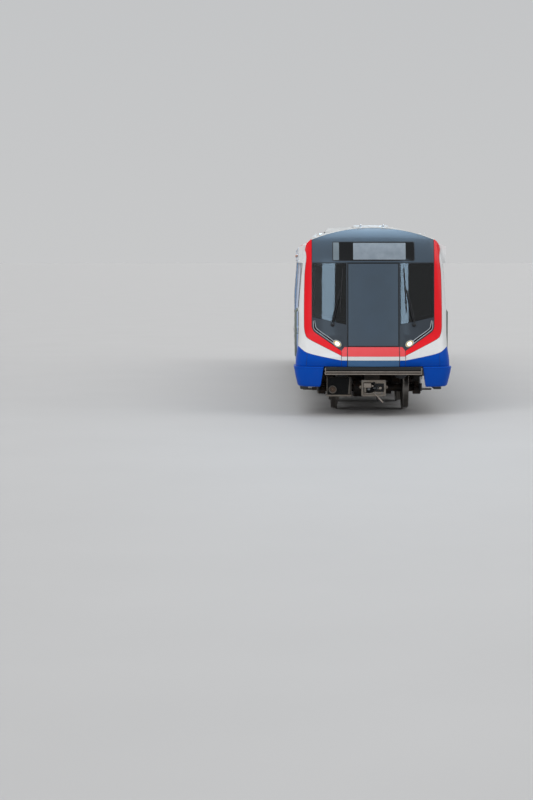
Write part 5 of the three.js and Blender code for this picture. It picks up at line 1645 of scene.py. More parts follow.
def coupler_head():
    """Face, pockets with a near-black sheet as painted shade, pins, hoses and lever of the front coupler."""
    head = Builder()
    face = COUPLER_FACE_Y
    head.frame(square(-0.24, 0.244, 0.423, 0.742, face), square(-0.208, 0.212, 0.455, 0.71, face),
        (0, -0.014, 0))
    # near-black sheet in the pockets either side of the middle web: painted shade
    head.box((-0.206, -10.8, 0.458), (0.018, -10.79, 0.708), 0.0, 1)
    head.box((-0.196, face - 0.002, 0.592), (-0.05, -10.8, 0.684), 0.008, 4)
    head.box((-0.19, face + 0.01, 0.5), (-0.15, -10.8, 0.588), 0.006)
    head.box((-0.12, face + 0.02, 0.54), (-0.07, -10.8, 0.586), 0.006, 2)
    head.tube([(-0.2, -10.83, 0.49), (-0.1, -10.86, 0.47), (0.02, -10.865, 0.492)], 0.013, 10)
    # socket in the head's face, near black as painted shade
    head.lathe([(0, 0), (0, 0.026), (0.01, 0.026), (0.012, 0.018), (0.004, 0.016), (0.004, 0)],
        (0.002, face - 0.003, 0.696), FORWARD, 20, 1)
    head.lathe([(0, 0), (0, 0.02), (0.012, 0.018), (0.016, 0)], (-0.022, face - 0.001, 0.628), FORWARD, 18, 4)
    head.tube([(-0.01, -10.87, 0.588), (0.125, -10.903, 0.588)], 0.007, 8, 2)
    head.box((0.108, -10.912, 0.568), (0.158, -10.89, 0.61), 0.006, 4)
    for x, radius in ((0.045, 0.016), (0.085, 0.012), (0.17, 0.016)):
        head.lathe([(0, 0), (0, radius), (0.01, radius), (0.012, 0)], (x, face - 0.002, 0.484), FORWARD, 14,
            2)
    head.tube([(-0.2, face - 0.004, 0.47), (0.2, face - 0.004, 0.47)], 0.008, 8)
    head.bolts([(x, face - 0.014, z) for x in (-0.224, 0.228) for z in (0.438, 0.582, 0.726)], FORWARD, 0.01,
        0.008, 2)
    # caps and hoses beside the head
    for side, x in ((-1, -0.238), (1, 0.242)):
        head.lathe([(0, 0), (0, 0.034), (0.03, 0.034), (0.044, 0.02), (0.05, 0)], (x, -10.76, 0.6),
            (side, 0, 0), 20)
        hose = [(x + side * 0.02, -10.7, 0.7), (x + side * 0.03, -10.66, 0.72),
            (x + side * 0.01, -10.55, 0.7)]
        head.tube(hose + [(side * 0.08, -10.45, 0.64)], 0.013, 10, 3)
    # uncoupling lever, from the head's foot down to the right
    head.tube([(0.0, -10.845, 0.505), (0.03, -10.88, 0.468), (0.1, -10.892, 0.392)], 0.01, 10, 4)
    head.tube([(0.095, -10.892, 0.397), (0.186, -10.896, 0.3)], 0.0155, 12, 4)
    for y in (-10.34, -10.46):
        head.lathe([(-0.03, 0), (-0.03, 0.09), (0.03, 0.09), (0.03, 0)], (0, y, COUPLER_Z), REARWARD, 24)
    head.piece("coupler_front_details", ["casting", "shadow", "bolt", "plastic", "rib"], "coupler_front",
        "weathered_steel")


def horn_tray():
    """Horn and edges of the tray left of the coupler, with a near-black plate across its front as painted
    shade.
    """
    horn = Builder()
    face = -10.5285
    # near-black plate across the tray's front: painted shade of the hollow behind it
    horn.box((-0.92, face, 0.432), (-0.446, face + 0.006, 0.772), 0.0, 1)
    horn.box((-0.95, -10.548, 0.398), (-0.436, -10.526, 0.43), 0.003)
    horn.prism([(-0.938, face, 0.43), (-0.912, face, 0.43), (-0.922, face, 0.8), (-0.938, face, 0.8)],
        (0, 0.006, 0), 2)
    horn.prism([(-0.506, face - 0.004, 0.446), (-0.456, face - 0.004, 0.446), (-0.456, face - 0.004, 0.792),
        (-0.474, face - 0.004, 0.792)], (0, 0.004, 0), 2)
    spot = (-0.817, face, 0.54)
    horn.lathe([(0.0, 0.05), (0.03, 0.054), (0.05, 0.066), (0.054, 0.08), (0.046, 0.082), (0.02, 0.068),
        (0.0, 0.06), (0.0, 0.05)], spot, FORWARD, 32, 2)
    horn.lathe([(0.0, 0.026), (0.036, 0.03), (0.04, 0.036), (0.0, 0.034), (0.0, 0.026)], spot, FORWARD, 24, 2)
    horn.lathe([(0.0, 0), (0.0, 0.012), (0.04, 0.01), (0.046, 0)], spot, FORWARD, 16)
    horn.lathe([(0, 0), (0, 0.018), (0.06, 0.008), (0.075, 0)], (-0.7, -10.47, 0.395), (0, 0, -1), 14, 2)
    horn.tube([(-0.72, -10.4, 0.78), (-0.72, -10.42, 0.9), (-0.6, -10.42, 0.95), (-0.3, -10.42, 0.95)], 0.016,
        10, 2)
    horn.piece("horn_tray_details", ["casting", "shadow", "worn"], slot="weathered_steel")


def anti_climber_gaps():
    """Near-black boxes as painted shade in the gaps between the anti-climber's ribs, its pad and its end
    plates.
    """
    ribs = Builder()
    # near-black boxes in the gaps between the ribs and under the chin: painted shade
    for k in range(3):
        z = 0.85 + 0.045 * k
        ribs.box((-0.968, -10.756, z + 0.0252), (0.968, -10.6902, z + 0.0446))
    ribs.box((-0.968, -10.76, 0.9855), (0.968, -10.64, 1.006))
    # rubber pad over the top rib, also dark to stand for the chin's shade on it: partly painted shade
    ribs.box((-0.957, -10.7835, 0.938), (0.957, -10.742, 1.004), 0.003, 2)
    for side in SIDES.values():
        ribs.slab(side, (0.958, 0.974), (-10.786, -10.602), (0.846, 0.989), 0.003, 1)
        ribs.bolts([(side * 0.974, y, z) for y in (-10.74, -10.65) for z in (0.88, 0.955)], (side, 0, 0),
            0.012, 0.01, 1)
    ribs.piece("anti_climber_gaps", ["shadow", "rib", "rubber"], slot="weathered_steel")


def corner_skirt(hand, side):
    """Smooth skirt under a corner of the nose."""
    skin = Builder()
    skin.stack([skirt_ring(side, z, lean) for z, lean in SKIRT_LEAN])
    piece = skin.piece(f"skirt_skin_{hand}", "blue", slot="front_blue", smooth=24)
    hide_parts(f"corner_skirt_{hand}")


class FrontGear(Operator):
    """Coupler head, horn tray, gaps of the anti-climber and smooth corner skirts"""
    bl_idname = "metro_car.front_gear"
    bl_label = "Front gear"

    def execute(self, context):
        coupler_head()
        horn_tray()
        anti_climber_gaps()
        for hand, side in SIDES.items():
            corner_skirt(hand, side)
        return {"FINISHED"}


# Below the floor

UNDERFLOOR_BOXES = (
    # name, from y, to y, half width, bottom, doors, slats on each door
    ("traction_inverter", -5.2, -2.7, 1.38, 0.43, 4, 7),
    ("brake_resistor", -2.45, -1.05, 1.3, 0.52, 2, 12),
    ("auxiliary_converter", -0.8, 1.9, 1.38, 0.43, 4, 5),
    ("battery_box", 2.2, 4.9, 1.34, 0.47, 3, 0),
)


def case_doors(name, y0, y1, half, bottom, doors, slats):
    """Doors with slats and latches, hangers, and end plates of one underfloor case."""
    made = Builder()
    z0, z1 = bottom + 0.135, 0.985
    width = (y1 - y0 - 0.06) / doors
    for side in SIDES.values():
        for k in range(doors):
            a = y0 + 0.03 + k * width + 0.012
            b = a + width - 0.024
            x = side * half
            made.slab(side, (half, half + 0.01), (a, b), (z0, z1), 0.003)
            if slats:
                outer = rounded(a + 0.05, b - 0.05, z0 + 0.05, z1 - 0.07, 0.02)
                inner = rounded(a + 0.065, b - 0.065, z0 + 0.065, z1 - 0.085, 0.012)
                lip = x + side * 0.0105
                made.frame([(lip, p, q) for p, q in outer], [(lip, p, q) for p, q in inner],
                    (side * 0.006, 0, 0))
                step = (z1 - z0 - 0.17) / slats
                for j in range(slats):
                    z = z0 + 0.075 + j * step
                    slat = ((0.01, z), (0.026, z + step * 0.1), (0.026, z + step * 0.2),
                        (0.01, z + step * 0.75))
                    made.prism([(x + side * out, a + 0.065, up) for out, up in slat], (0, b - a - 0.13, 0), 1)
            for y in (a + 0.1, b - 0.1):
                made.slab(side, (half + 0.009, half + 0.024), (y - 0.018, y + 0.018),
                    (z1 - 0.055, z1 - 0.015), 0.003, 2)
                made.slab(side, (half + 0.009, half + 0.02), (y - 0.028, y + 0.028), (z0 + 0.006, z0 + 0.03),
                    0.003, 2)
            heights = (z0 + 0.03, (z0 + z1) / 2, z1 - 0.03)
            made.bolts([(x + side * 0.01, y, z) for y in (a + 0.02, b - 0.02) for z in heights],
                (side, 0, 0), 0.009, 0.007, 2)
        for y in (y0 + 0.02, (y0 + y1) / 2, y1 - 0.02):
            made.slab(side, (half - 0.03, half + 0.045), (y - 0.03, y + 0.03), (0.99, UNDER_SOLE_Z), 0.003)
            reach = half + (0.04 if side > 0 else 0.045)
            made.slab(side, (half - 0.03, reach), (y - 0.006, y + 0.006), (0.94, 0.992))
    for y, way in ((y0, -1), (y1, 1)):
        a, b = sorted((y, y + way * 0.006))
        made.box((-half + 0.1, a, bottom + 0.14), (-0.02, b, 0.98), 0.002)
        made.box((0.02, a, bottom + 0.14), (half - 0.1, b, 0.98), 0.002)
        for x in (-half + 0.3, half - 0.3):
            made.lathe([(0, 0), (0, 0.045), (0.03, 0.045), (0.036, 0.034), (0.036, 0)], (x, y, 0.86),
                (0, way, 0), 20, 2)
    made.piece(f"{name}_doors", ["case", "plastic", "bolt"], slot="equipment_grey")


def underfloor_pipes():
    """Pipes with their clamps, air reservoirs, boxes and sole brackets."""
    pipes = Builder()
    for side in SIDES.values():
        for x, z, radius in ((1.455, 0.975, 0.02), (1.5, 0.985, 0.013)):
            pipes.tube([(side * x, y, z) for y in (-5.75, -2.0, 2.0, 5.75)], radius, 10)
        for k in range(15):
            y = -5.6 + 0.8 * k
            pipes.slab(side, (1.425, 1.52), (y - 0.012, y + 0.012), (0.955, 1.009), 0.002, 1)
        for y0, y1, x in ((9.3, 10.2, 0.95), (-9.68, -9.16, 0.62)):
            profile = [(0, 0), (0.004, 0.07), (0.03, 0.125), (0.075, 0.142), (y1 - y0 - 0.075, 0.142),
                (y1 - y0 - 0.03, 0.125), (y1 - y0 - 0.004, 0.07), (y1 - y0, 0)]
            pipes.lathe(profile, (side * x, y0, 0.84), REARWARD, 28, 2)
            for y in (y0 + 0.16, y1 - 0.16):
                pipes.lathe([(-0.02, 0.141), (-0.02, 0.147), (0.02, 0.147), (0.02, 0.141), (-0.02, 0.141)],
                    (side * x, y, 0.84), REARWARD, 28, 1)
                pipes.slab(side, (x - 0.05, x + 0.05), (y - 0.02, y + 0.02), (0.975, UNDER_SOLE_Z), 0.002, 1)
        pipes.slab(side, (0.35, 1.05), (5.02, 5.4), (0.7, UNDER_SOLE_Z), 0.012, 2)
        pipes.slab(side, (0.35, 1.05), (-5.7, -5.34), (0.74, UNDER_SOLE_Z), 0.012, 2)
        pipes.bolts([(side * (0.42 + 0.14 * k), 5.02, 0.85) for k in range(5)], FORWARD, 0.01, 0.008, 1)
    for k in range(9):
        y = -8.9 + 2.225 * k
        if any(abs(y - c) < 0.45 for c in BOGIE_Y.values()):
            continue
        for side in SIDES.values():
            low, high = sorted((side * 1.395, side * 1.548))
            bracket = ((low, UNDER_SOLE_Z), (high, UNDER_SOLE_Z), (side * 1.548, 0.995),
                (side * 1.4715, 0.955))
            pipes.prism([(x, y - 0.005, z) for x, z in bracket], (0, 0.01, 0), 2)
    pipes.piece("underfloor_pipes", ["stainless", "bolt", "case"], slot="weathered_steel")


def rear_coupler():
    """Face, collars and hose of the rear coupler."""
    rear = Builder()
    rear.box((-0.152, 10.868, 0.438), (0.152, 10.899, 0.722), 0.006)
    rear.bolts([(x, 10.899, z) for x in (-0.12, 0.12) for z in (0.47, 0.58, 0.69)], REARWARD, 0.016, 0.0)
    for y in (10.34, 10.46):
        rear.lathe([(-0.03, 0), (-0.03, 0.092), (0.03, 0.092), (0.03, 0)], (0, y, COUPLER_Z), REARWARD, 24)
    rear.tube([(0.058, 10.46, 0.64), (0.1, 10.6, 0.7), (0.11, 10.862, 0.66)], 0.014, 10, 1)
    rear.piece("coupler_rear_details", ["casting", "plastic"], "coupler_rear", "weathered_steel")


class Underfloor(Operator):
    """Doors and slats of the underfloor cases, pipes, air reservoirs, brackets and the rear coupler's trim"""
    bl_idname = "metro_car.underfloor"
    bl_label = "Underfloor"

    def execute(self, context):
        for case in UNDERFLOOR_BOXES:
            case_doors(*case)
        underfloor_pipes()
        rear_coupler()
        return {"FINISHED"}


# Rear end

def upright(points, y):
    """Points (across, height) as a ring at one y."""
    return [(x, y, z) for x, z in points]


def end_wall_fittings():
    """Corner posts, handrails, sockets, lamps, steps and plates of the end wall."""
    wall = Builder()
    face = REAR_WALL_Y
    for side in SIDES.values():
        wall.slab(side, (1.405, 1.455), (face - 0.001, face + 0.02), (1.14, 3.06), 0.005)
        x = side * 1.3
        rail = ((0, 1.36), (0.055, 1.38), (0.06, 1.6), (0.06, 2.3), (0.055, 2.6), (0, 2.62))
        wall.tube([(x, face + out, z) for out, z in rail], 0.0165, 12, 1)
        for z in (1.36, 2.62):
            wall.lathe([(0, 0), (0, 0.034), (0.007, 0.034), (0.01, 0.022), (0.01, 0)], (x, face, z), REARWARD,
                18, 1)
        for x, z, radius in ((1.02, 1.24, 0.06), (1.18, 1.24, 0.05), (1.02, 1.4, 0.05)):
            wall.lathe([(0, 0), (0, radius), (0.045, radius), (0.052, radius * 0.85), (0.052, radius * 0.5),
                (0.066, radius * 0.45), (0.07, 0)], (side * x, face, z), REARWARD, 24, 2)
        ring = rounded(side * 1.12 - 0.16, side * 1.12 + 0.16, 2.02, 2.86, 0.05)
        inner = rounded(side * 1.12 - 0.135, side * 1.12 + 0.135, 2.045, 2.835, 0.035)
        wall.frame(upright(ring, face), upright(inner, face), (0, 0.006, 0), 2)
        wall.prism(upright(inner, face), (0, 0.003, 0), 3)
        spot = (side * 1.22, face, 3.26)
        wall.lathe([(0, 0.05), (0.03, 0.05), (0.034, 0.062), (0, 0.066), (0, 0.05)], spot, REARWARD, 28, 1)
        wall.lathe([(0, 0), (0, 0.049), (0.02, 0.045), (0.03, 0.03), (0.034, 0)], spot, REARWARD, 28, 4)
        wall.bolts([(side * 0.86, face + 0.001, 1.3 + 0.21 * k) for k in range(9)], REARWARD, 0.011, 0.008, 1)
        wall.slab(side, (0.95, 1.45), (face, face + 0.11), (1.015, 1.035), 0.004, 1)
        for k in range(6):
            y = face + 0.01 + 0.016 * k
            wall.slab(side, (0.97, 1.43), (y, y + 0.006), (1.034, 1.04), group=1)
    arc = [(x, face, roof_z(x) - 0.1) for x in [-1.15 + 0.1 * k for k in range(24)]]
    wall.tube(arc, 0.012, 8)
    wall.box((-0.4, face, 3.4), (0.4, face + 0.012, 3.66), 0.004)
    wall.bolts([(x, face + 0.012, z) for x in (-0.37, 0.37) for z in (3.43, 3.63)], REARWARD, 0.01, 0.007, 1)
    wall.piece("end_wall_fittings", ["film", "stainless", "plastic", "frit", "tail"], slot="body_silver")


def gangway_frames():
    """Frames, bridge plate, folds and rails of the gangway."""
    gang = Builder()
    for y, depth, grow in ((10.6015, 0.012, 0.03), (10.866, 0.018, 0.0)):
        outer = rounded(-0.79 - grow, 0.79 + grow, 1.045 - grow, 3.335 + grow, 0.12)
        inner = rounded(-0.79, 0.79, 1.045, 3.335, 0.1) if grow else rounded(-0.62, 0.62, 1.192, 3.178, 0.05)
        gang.frame(upright(outer, y), upright(inner, y), (0, depth, 0))
    gang.bolts([(side * 0.7, 10.884, 1.3 + 0.22 * k) for k in range(9) for side in (-1, 1)], REARWARD, 0.01,
        0.007, 1)
    gang.box((-0.56, 10.36, FLOOR_Z + 0.0005), (0.56, 10.884, 1.199), 0.002)
    for k in range(7):
        gang.box((-0.52 + 0.16 * k, 10.4, 1.198), (-0.44 + 0.16 * k, 10.86, 1.202), 0.001)
    for side in SIDES.values():
        for k in range(6):
            y = 10.61 + 0.044 * k
            gang.slab(side, (0.585, 0.598), (y, y + 0.022), (1.2, 3.17), 0.003, 2)
        rail = ((0.564, 10.52), (0.549, 10.62), (0.549, 10.8), (0.584, 10.86))
        gang.tube([(side * x, y, 2.15) for x, y in rail], 0.012, 10, 1)
    gang.piece("gangway_frames", ["unit", "stainless", "bellows"], slot="bellows_rubber")


class RearEnd(Operator):
    """End wall's posts, handrails, lamps and sockets, and the frames and bridge of the gangway"""
    bl_idname = "metro_car.rear_end"
    bl_label = "Rear end"

    def execute(self, context):
        end_wall_fittings()
        gangway_frames()
        return {"FINISHED"}


# Inside

def seat_shell(made, side, y0, y1):
    """One moulded seat: dished pan and back that stand on the bench."""
    line = (
        # distance from the centreline, height, depth of the dish
        (0.925, 1.612, 0.0), (0.935, 1.646, 0.002), (0.985, 1.658, 0.01), (1.12, 1.66, 0.016),
        (1.24, 1.664, 0.014), (1.288, 1.69, 0.006), (1.312, 1.76, 0.008), (1.326, 1.86, 0.01),
        (1.335, 1.955, 0.004), (1.342, 1.966, 0.0),
    )
    rings = []
    for k in range(9):
        t = k / 8
        y = y0 + (y1 - y0) * t
        dish = 1 - (2 * t - 1) ** 4
        edge = 0.006 if k in (0, 8) else 0.0
        top = []
        for x, z, depth in line:
            # the pan sinks by its dish, the back moves out by the shell's thickness less its dish
            if z < 1.68:
                top.append((side * x, y, z - depth * dish + 0.012 - edge))
            else:
                top.append((side * (x - (0.012 - depth * dish)), y, z + 0.012 - edge))
        low = [(side * (x + 0.004), y, z - 0.012) for x, z, _ in reversed(line)]
        rings.append(top + low)
    made.stack(rings)


def seat_shells(hand, side, number, bay):
    """Seven moulded seats on one bench."""
    made = Builder()
    for k in range(7):
        y = bay - 1.54 + 0.44 * k
        seat_shell(made, side, y + 0.008, y + 0.432)
    made.piece(f"seat_shells_{hand}_{number}", "seat", slot="bench_blue", smooth=50)


def door_poles(hand, side, pole):
    """Poles either side of each doorway."""
    rails = Builder()
    for y in DOORWAY_Y.values():
        for way in (-1, 1):
            spot = y + way * 0.93
            line = ((0.86, FLOOR_Z + 0.001), (0.86, 2.3), (0.8, 2.9), (0.8, CEILING_Z - 0.001))
            rails.tube([(side * x, spot, z) for x, z in line], pole, 12)
            rails.lathe([(0, 0), (0, 0.045), (0.006, 0.043), (0.02, 0.02), (0.02, 0)],
                (side * 0.86, spot, FLOOR_Z), UP, 20)
    rails.piece(f"door_poles_{hand}", "stainless", slot="stainless")


def hanging_grips(hand, side):
    """Looped grips that hang from the handrail."""
    grips = Builder()
    for k in range(38):
        y = -7.45 + 0.46 * k
        x = side * 0.7
        grips.lathe([(-0.014, 0.018), (-0.014, 0.024), (0.014, 0.024), (0.014, 0.018), (-0.014, 0.018)],
            (x, y, 3.05), REARWARD, 14, 1)
        grips.box((x - 0.003, y - 0.012, 2.875), (x + 0.003, y + 0.012, 3.032), 0.001, 1)
        loop = ((0, 2.88), (-0.055, 2.8), (-0.062, 2.782), (-0.05, 2.77), (0, 2.766), (0.05, 2.77),
            (0.062, 2.782), (0.055, 2.8), (0, 2.88))
        grips.tube([(x, y + along, z) for along, z in loop], 0.0085, 8)
    grips.piece(f"hanging_grips_{hand}", ["strap", "plastic"], slot="stainless")


def draught_screens(hand, side):
    """Glass screens at the benches' ends."""
    screens = Builder()
    for bay in BAY_Y.values():
        for way in (-1, 1):
            y = bay + way * 1.585
            outer = [(side * p, y, q) for p, q in rounded(0.93, 1.385, 1.62, 2.62, 0.06)]
            inner = [(side * p, y, q) for p, q in rounded(0.955, 1.36, 1.645, 2.595, 0.04)]
            screens.frame(outer, inner, (0, 0.018, 0))
            glass = [(x, a + 0.006, z) for x, a, z in inner]
            screens.prism(glass, (0, 0.006, 0), 1)
            rail = ((0.915, FLOOR_Z + 0.001), (0.915, 2.7), (0.98, 2.78), (1.36, 2.8))
            screens.tube([(side * x, y + 0.009, z) for x, z in rail], 0.015, 10)
    screens.piece(f"draught_screens_{hand}", ["stainless", "window"], slot="stainless")


def ceiling_lights(hand, side):
    """Row of ceiling lights on one side."""
    light = Builder()
    for k in range(12):
        y = -7.9 + 1.52 * k
        light.slab(side, (0.46, 0.6), (y, y + 1.47), (3.268, CEILING_Z - 0.0005), 0.008)
        light.slab(side, (0.445, 0.615), (y - 0.02, y + 1.49), (3.278, CEILING_Z - 0.0007), 0.003, 1)
    light.piece(f"ceiling_lights_{hand}", ["diffuser", "lining"], slot="lining")


def middle_poles(pole):
    """Poles along the centreline."""
    middle = Builder()
    for y in (-3.7, 1.1, 5.9, -6.1, -1.3, 3.5, 8.3):
        middle.tube([(0, y, FLOOR_Z + 0.001), (0, y, 2.2), (0, y, CEILING_Z - 0.001)], pole + 0.001, 14)
        middle.lathe([(0, 0), (0, 0.05), (0.006, 0.048), (0.024, 0.022), (0.024, 0)], (0, y, FLOOR_Z), UP, 20)
    middle.piece("middle_poles", "stainless", slot="stainless")


def ceiling_grilles():
    """Air grilles along the middle of the ceiling."""
    grille = Builder()
    for k in range(12):
        y = -7.85 + 1.52 * k
        lines = (rounded(-0.2, 0.2, y, y + 1.38, 0.02), rounded(-0.18, 0.18, y + 0.02, y + 1.36, 0.015))
        outer, inner = [[(*p, CEILING_Z - 0.0007) for p in line] for line in lines]
        grille.frame(outer, inner, (0, 0, -0.01))
        for j in range(6):
            x = -0.15 + 0.06 * j
            grille.box((x - 0.006, y + 0.02, 3.274), (x + 0.006, y + 1.36, 3.2885), 0.002)
    grille.piece("ceiling_grilles", "lining", slot="lining")


class Saloon(Operator):
    """Seat shells, poles, hanging grips, draught screens, ceiling lights and air grilles"""
    bl_idname = "metro_car.saloon"
    bl_label = "Saloon"

    def execute(self, context):
        pole = context.scene.metro_sizes.pole
        for hand, side in SIDES.items():
            for number, bay in BAY_Y.items():
                seat_shells(hand, side, number, bay)
            door_poles(hand, side, pole)
            hanging_grips(hand, side)
            draught_screens(hand, side)
            ceiling_lights(hand, side)
        middle_poles(pole)
        ceiling_grilles()
        return {"FINISHED"}


def cushion(name, outline, low, high, crown, finish_key, body="car_body", slot="seat_fabric"):
    """Crowned cushion. outline(u) gives the side's points in the first two axes, low and high its height."""
    made = Builder()
    rings = []
    levels = ((low, 0.94), (low + 0.3 * (high - low), 1.0), (low + 0.7 * (high - low), 1.0), (high, 0.9),
        (high + crown * 0.6, 0.62), (high + crown, 0.25))
    cx = sum(p[0] for p in outline) / len(outline)
    cy = sum(p[1] for p in outline) / len(outline)
    for height, scale in levels:
        rings.append([(cx + (x - cx) * scale, cy + (y - cy) * scale, height) for x, y in outline])
    made.stack(rings)
    item = made.piece(name, finish_key, body, slot, 80)
    smooth = item.modifiers.new("rounding", "SUBSURF")
    smooth.levels = 2
    smooth.render_levels = 2
    return item


def driver_seat():
    """Pedestal, pan, back and armrests, with two padded cushions."""
    x, y = -0.57, -9.43
    base = Builder()
    base.lathe([(0, 0), (0, 0.13), (0.012, 0.13), (0.03, 0.075), (0.06, 0.055), (0.3, 0.05), (0.33, 0.11),
        (0.345, 0.11), (0.345, 0)], (x, y, FLOOR_Z + 0.0003), UP, 32)
    base.prism([(x - 0.2, -9.66, 1.535), (x + 0.2, -9.66, 1.535), (x + 0.2, -9.25, 1.535),
        (x - 0.2, -9.25, 1.535)], (0, 0, 0.018))
    lean = atan2(0.088, 0.71)
    back = Matrix.Translation((x, -9.232, 1.985)) @ Matrix.Rotation(-lean, 4, "X")
    back = back @ Matrix.Rotation(radians(90), 4, "X")
    shell = [back @ Vector((a, b, 0.01)) for a, b in rounded(-0.185, 0.185, -0.345, 0.335, 0.085)]
    base.prism(shell, back.to_3x3() @ Vector((0, 0, -0.026)))
    for side in SIDES.values():
        base.tube([(x + side * 0.205, -9.22, 1.6), (x + side * 0.225, -9.22, 1.78),
            (x + side * 0.225, -9.48, 1.8)], 0.016, 10)
    frame_piece = base.piece("driver_seat_frame", "plastic", slot="seat_fabric")
    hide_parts("driver_seat")
    pan = cushion("driver_seat_cushion", rounded(x - 0.215, x + 0.215, -9.675, -9.255, 0.08), 1.555, 1.625,
        0.022, "cloth")
    rest = cushion("driver_seat_back", rounded(x - 0.205, x + 0.205, -0.36, 0.36, 0.09), 0.0, 0.055, 0.018,
        "cloth")
    rest.data.transform(back @ Matrix.Translation((-x, 0, 0)))


def desk_controls():
    """Three screens, two rows of buttons and the handle on the desk."""
    desk = Builder()
    slope = Matrix.Translation((0, -10.02, 1.972)) @ Matrix.Rotation(atan2(-0.08, 0.35), 4, "X")

    def on_desk(a, b, lift):
        return slope @ Vector((a, b, lift))

    for a, wide in ((-1.12, 0.15), (-0.93, 0.17), (-0.74, 0.13)):
        for width, lift, depth, group in ((wide, 0.012, 0.014, 1), (wide - 0.02, 0.016, 0.01, 0)):
            corners = ((-width / 2, -0.1), (width / 2, -0.1), (width / 2, 0.02), (-width / 2, 0.02))
            screen = [on_desk(a + across, up, lift) for across, up in corners]
            desk.prism(screen, slope.to_3x3() @ Vector((0, 0, -depth)), group)
    for k in range(14):
        centre = on_desk(-1.18 + 0.042 * k, 0.085 + 0.03 * (k % 2), 0.001)
        desk.lathe([(0, 0), (0, 0.011), (0.01, 0.01), (0.012, 0)], centre, slope.to_3x3() @ Vector((0, 0, 1)),
            12, 2 + k % 2)
    handle = on_desk(-0.67, 0.08, 0.0)
    desk.tube([handle, handle + Vector((0, 0.01, 0.07)), handle + Vector((0, 0.015, 0.1))], 0.012, 10, 1)
    desk.lathe([(-0.03, 0), (-0.03, 0.02), (0.03, 0.02), (0.03, 0)], handle + Vector((0, 0.015, 0.11)),
        (1, 0, 0), 16, 1)
    desk.piece("desk_controls", ["frit", "plastic", "stainless", "amber"], slot="desk_black")


def partition_door_fittings():
    """Window, pull and kick plate of the partition's door."""
    door = Builder()
    outer = rounded(-0.195, 0.195, 2.135, 2.815, 0.05)
    inner = rounded(-0.165, 0.165, 2.165, 2.785, 0.03)
    for y, step in ((-8.1405, 0.005), (-8.1795, -0.005)):
        door.frame(upright(outer, y), upright(inner, y), (0, step, 0))
    door.prism(square(-0.179, 0.179, 2.151, 2.799, -8.1585), (0, -0.005, 0), 1)
    door.tube([(-0.27, -8.14, 2.02), (-0.27, -8.105, 2.03), (-0.27, -8.105, 2.17), (-0.27, -8.14, 2.18)],
        0.009, 10, 2)
    door.box((-0.3, -8.1405, 1.22), (0.3, -8.138, 1.42), 0.001, 2)
    door.piece("partition_door_fittings", ["rubber", "window", "stainless"], "partition_door", "lining")


class CabInside(Operator):
    """Driver's seat with its cushions, desk screens and handles, partition window and door fittings"""
    bl_idname = "metro_car.cab_inside"
    bl_label = "Cab inside"

    def execute(self, context):
        driver_seat()
        desk_controls()
        partition_door_fittings()
        return {"FINISHED"}


# Finishes of the carried-over solids

NODE_FINISHES = {"underframe": "underframe", "side_wall_left": "film", "side_wall_right": "film",
    "roof": "roof", "nose_shell": "laminate", "front_door": "plastic", "cab_door_left": "film",
    "cab_door_right": "film", "end_wall_rear": "film", "gangway_bellows": "bellows",
    "air_conditioner_front": "unit", "air_conditioner_rear": "unit", "corner_skirt_left": "blue",
    "corner_skirt_right": "blue", "anti_climber": "rib", "horn_box": "bogie", "coupler_front": "coupler",
    "coupler_rear": "casting", "bogie_frame_front": "bogie", "bogie_frame_rear": "bogie",
    "traction_inverter": "case", "brake_resistor": "case", "auxiliary_converter": "case",
    "battery_box": "case", "cab_partition": "lining", "partition_door": "lining", "cab_desk": "desk",
    "driver_seat": "plastic", "handrail_left": "stainless", "handrail_right": "stainless",
    "wiper_left": "plastic", "wiper_right": "plastic"}


class CarriedFinishes(Operator):
    """Paint and metal of the solids that the car keeps"""
    bl_idname = "metro_car.carried_finishes"
    bl_label = "Finishes of the solids"

    def execute(self, context):
        for name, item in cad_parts.items():
            key = NODE_FINISHES.get(name)
            if key is None:
                key = "film" if name.startswith("door_") else "seat" if name.startswith("bench") else "tread"
            item.data.materials.clear()
            item.data.materials.append(finish(key))
        return {"FINISHED"}


def studio_floor(context):
    """Large pale floor."""
    material, node, where = new_tree("pale_studio_floor")
    cloud = node("TexNoise", {"Scale": per_metre(2500), "Detail": 4.0}, {"Vector": where})
    tone = node("Mix", {UNDER: "#b8b7b6", OVER: "#b2b1b0"}, {SHARE: cloud})
    shader = node("BsdfPrincipled", {"Roughness": 0.7}, {"Base Color": tone})
    node("OutputMaterial", links={"Surface": shader})
    mesh = bpy.data.meshes.new("studio_floor")
    size = 1500.0
    mesh.from_pydata([(-size, -size, 0), (size, -size, 0), (size, size, 0), (-size, size, 0)], [],
        [(0, 1, 2, 3)])
    mesh.materials.append(material)
    floor = bpy.data.objects.new("studio_floor", mesh)
    context.scene.collection.objects.link(floor)


def soft_world(context, settings):
    """Soft light from all round, a little bluer higher up."""
    world = bpy.data.worlds.new("soft_studio")
    world.use_nodes = True
    context.scene.world = world
    world.node_tree.nodes.clear()
    node = partial(add, world.node_tree)
    where = node("TexCoord")
    parts = node("SeparateXYZ", links={"Vector": where.outputs["Generated"]})
    height = node("MapRange", {"From Max": 0.7}, {"Value": parts.outputs["Z"]})
    sky = node("Mix", {UNDER: "#f6f7f8", OVER: "#dfe3e8"}, {SHARE: height})
    light = node("Background", {"Strength": settings.brightness}, {"Color": sky})
    node("OutputWorld", links={"Surface": light})


def far_lamps(context):
    """Soft lamps far away, which shade the car."""
    for name, turn, rise, strength in (
        # name, bearing from -Y towards +X, height angle, strength
        ("key_light", -32, 36, 1.75), ("fill_light", 78, 36, 0.85), ("back_light", 170, 38, 0.7),
    ):
        data = bpy.data.lights.new(name, "SUN")
        data.energy = strength
        data.angle = radians(50)
        lamp = bpy.data.objects.new(name, data)
        a, b = radians(turn), radians(rise)
        towards = Vector((sin(a) * cos(b), -cos(a) * cos(b), sin(b)))
        lamp.rotation_euler = towards.to_track_quat("Z", "Y").to_euler()
        # the key light would veil the dark glass of the front
        lamp.visible_glossy = name != "key_light"
        context.scene.collection.objects.link(lamp)


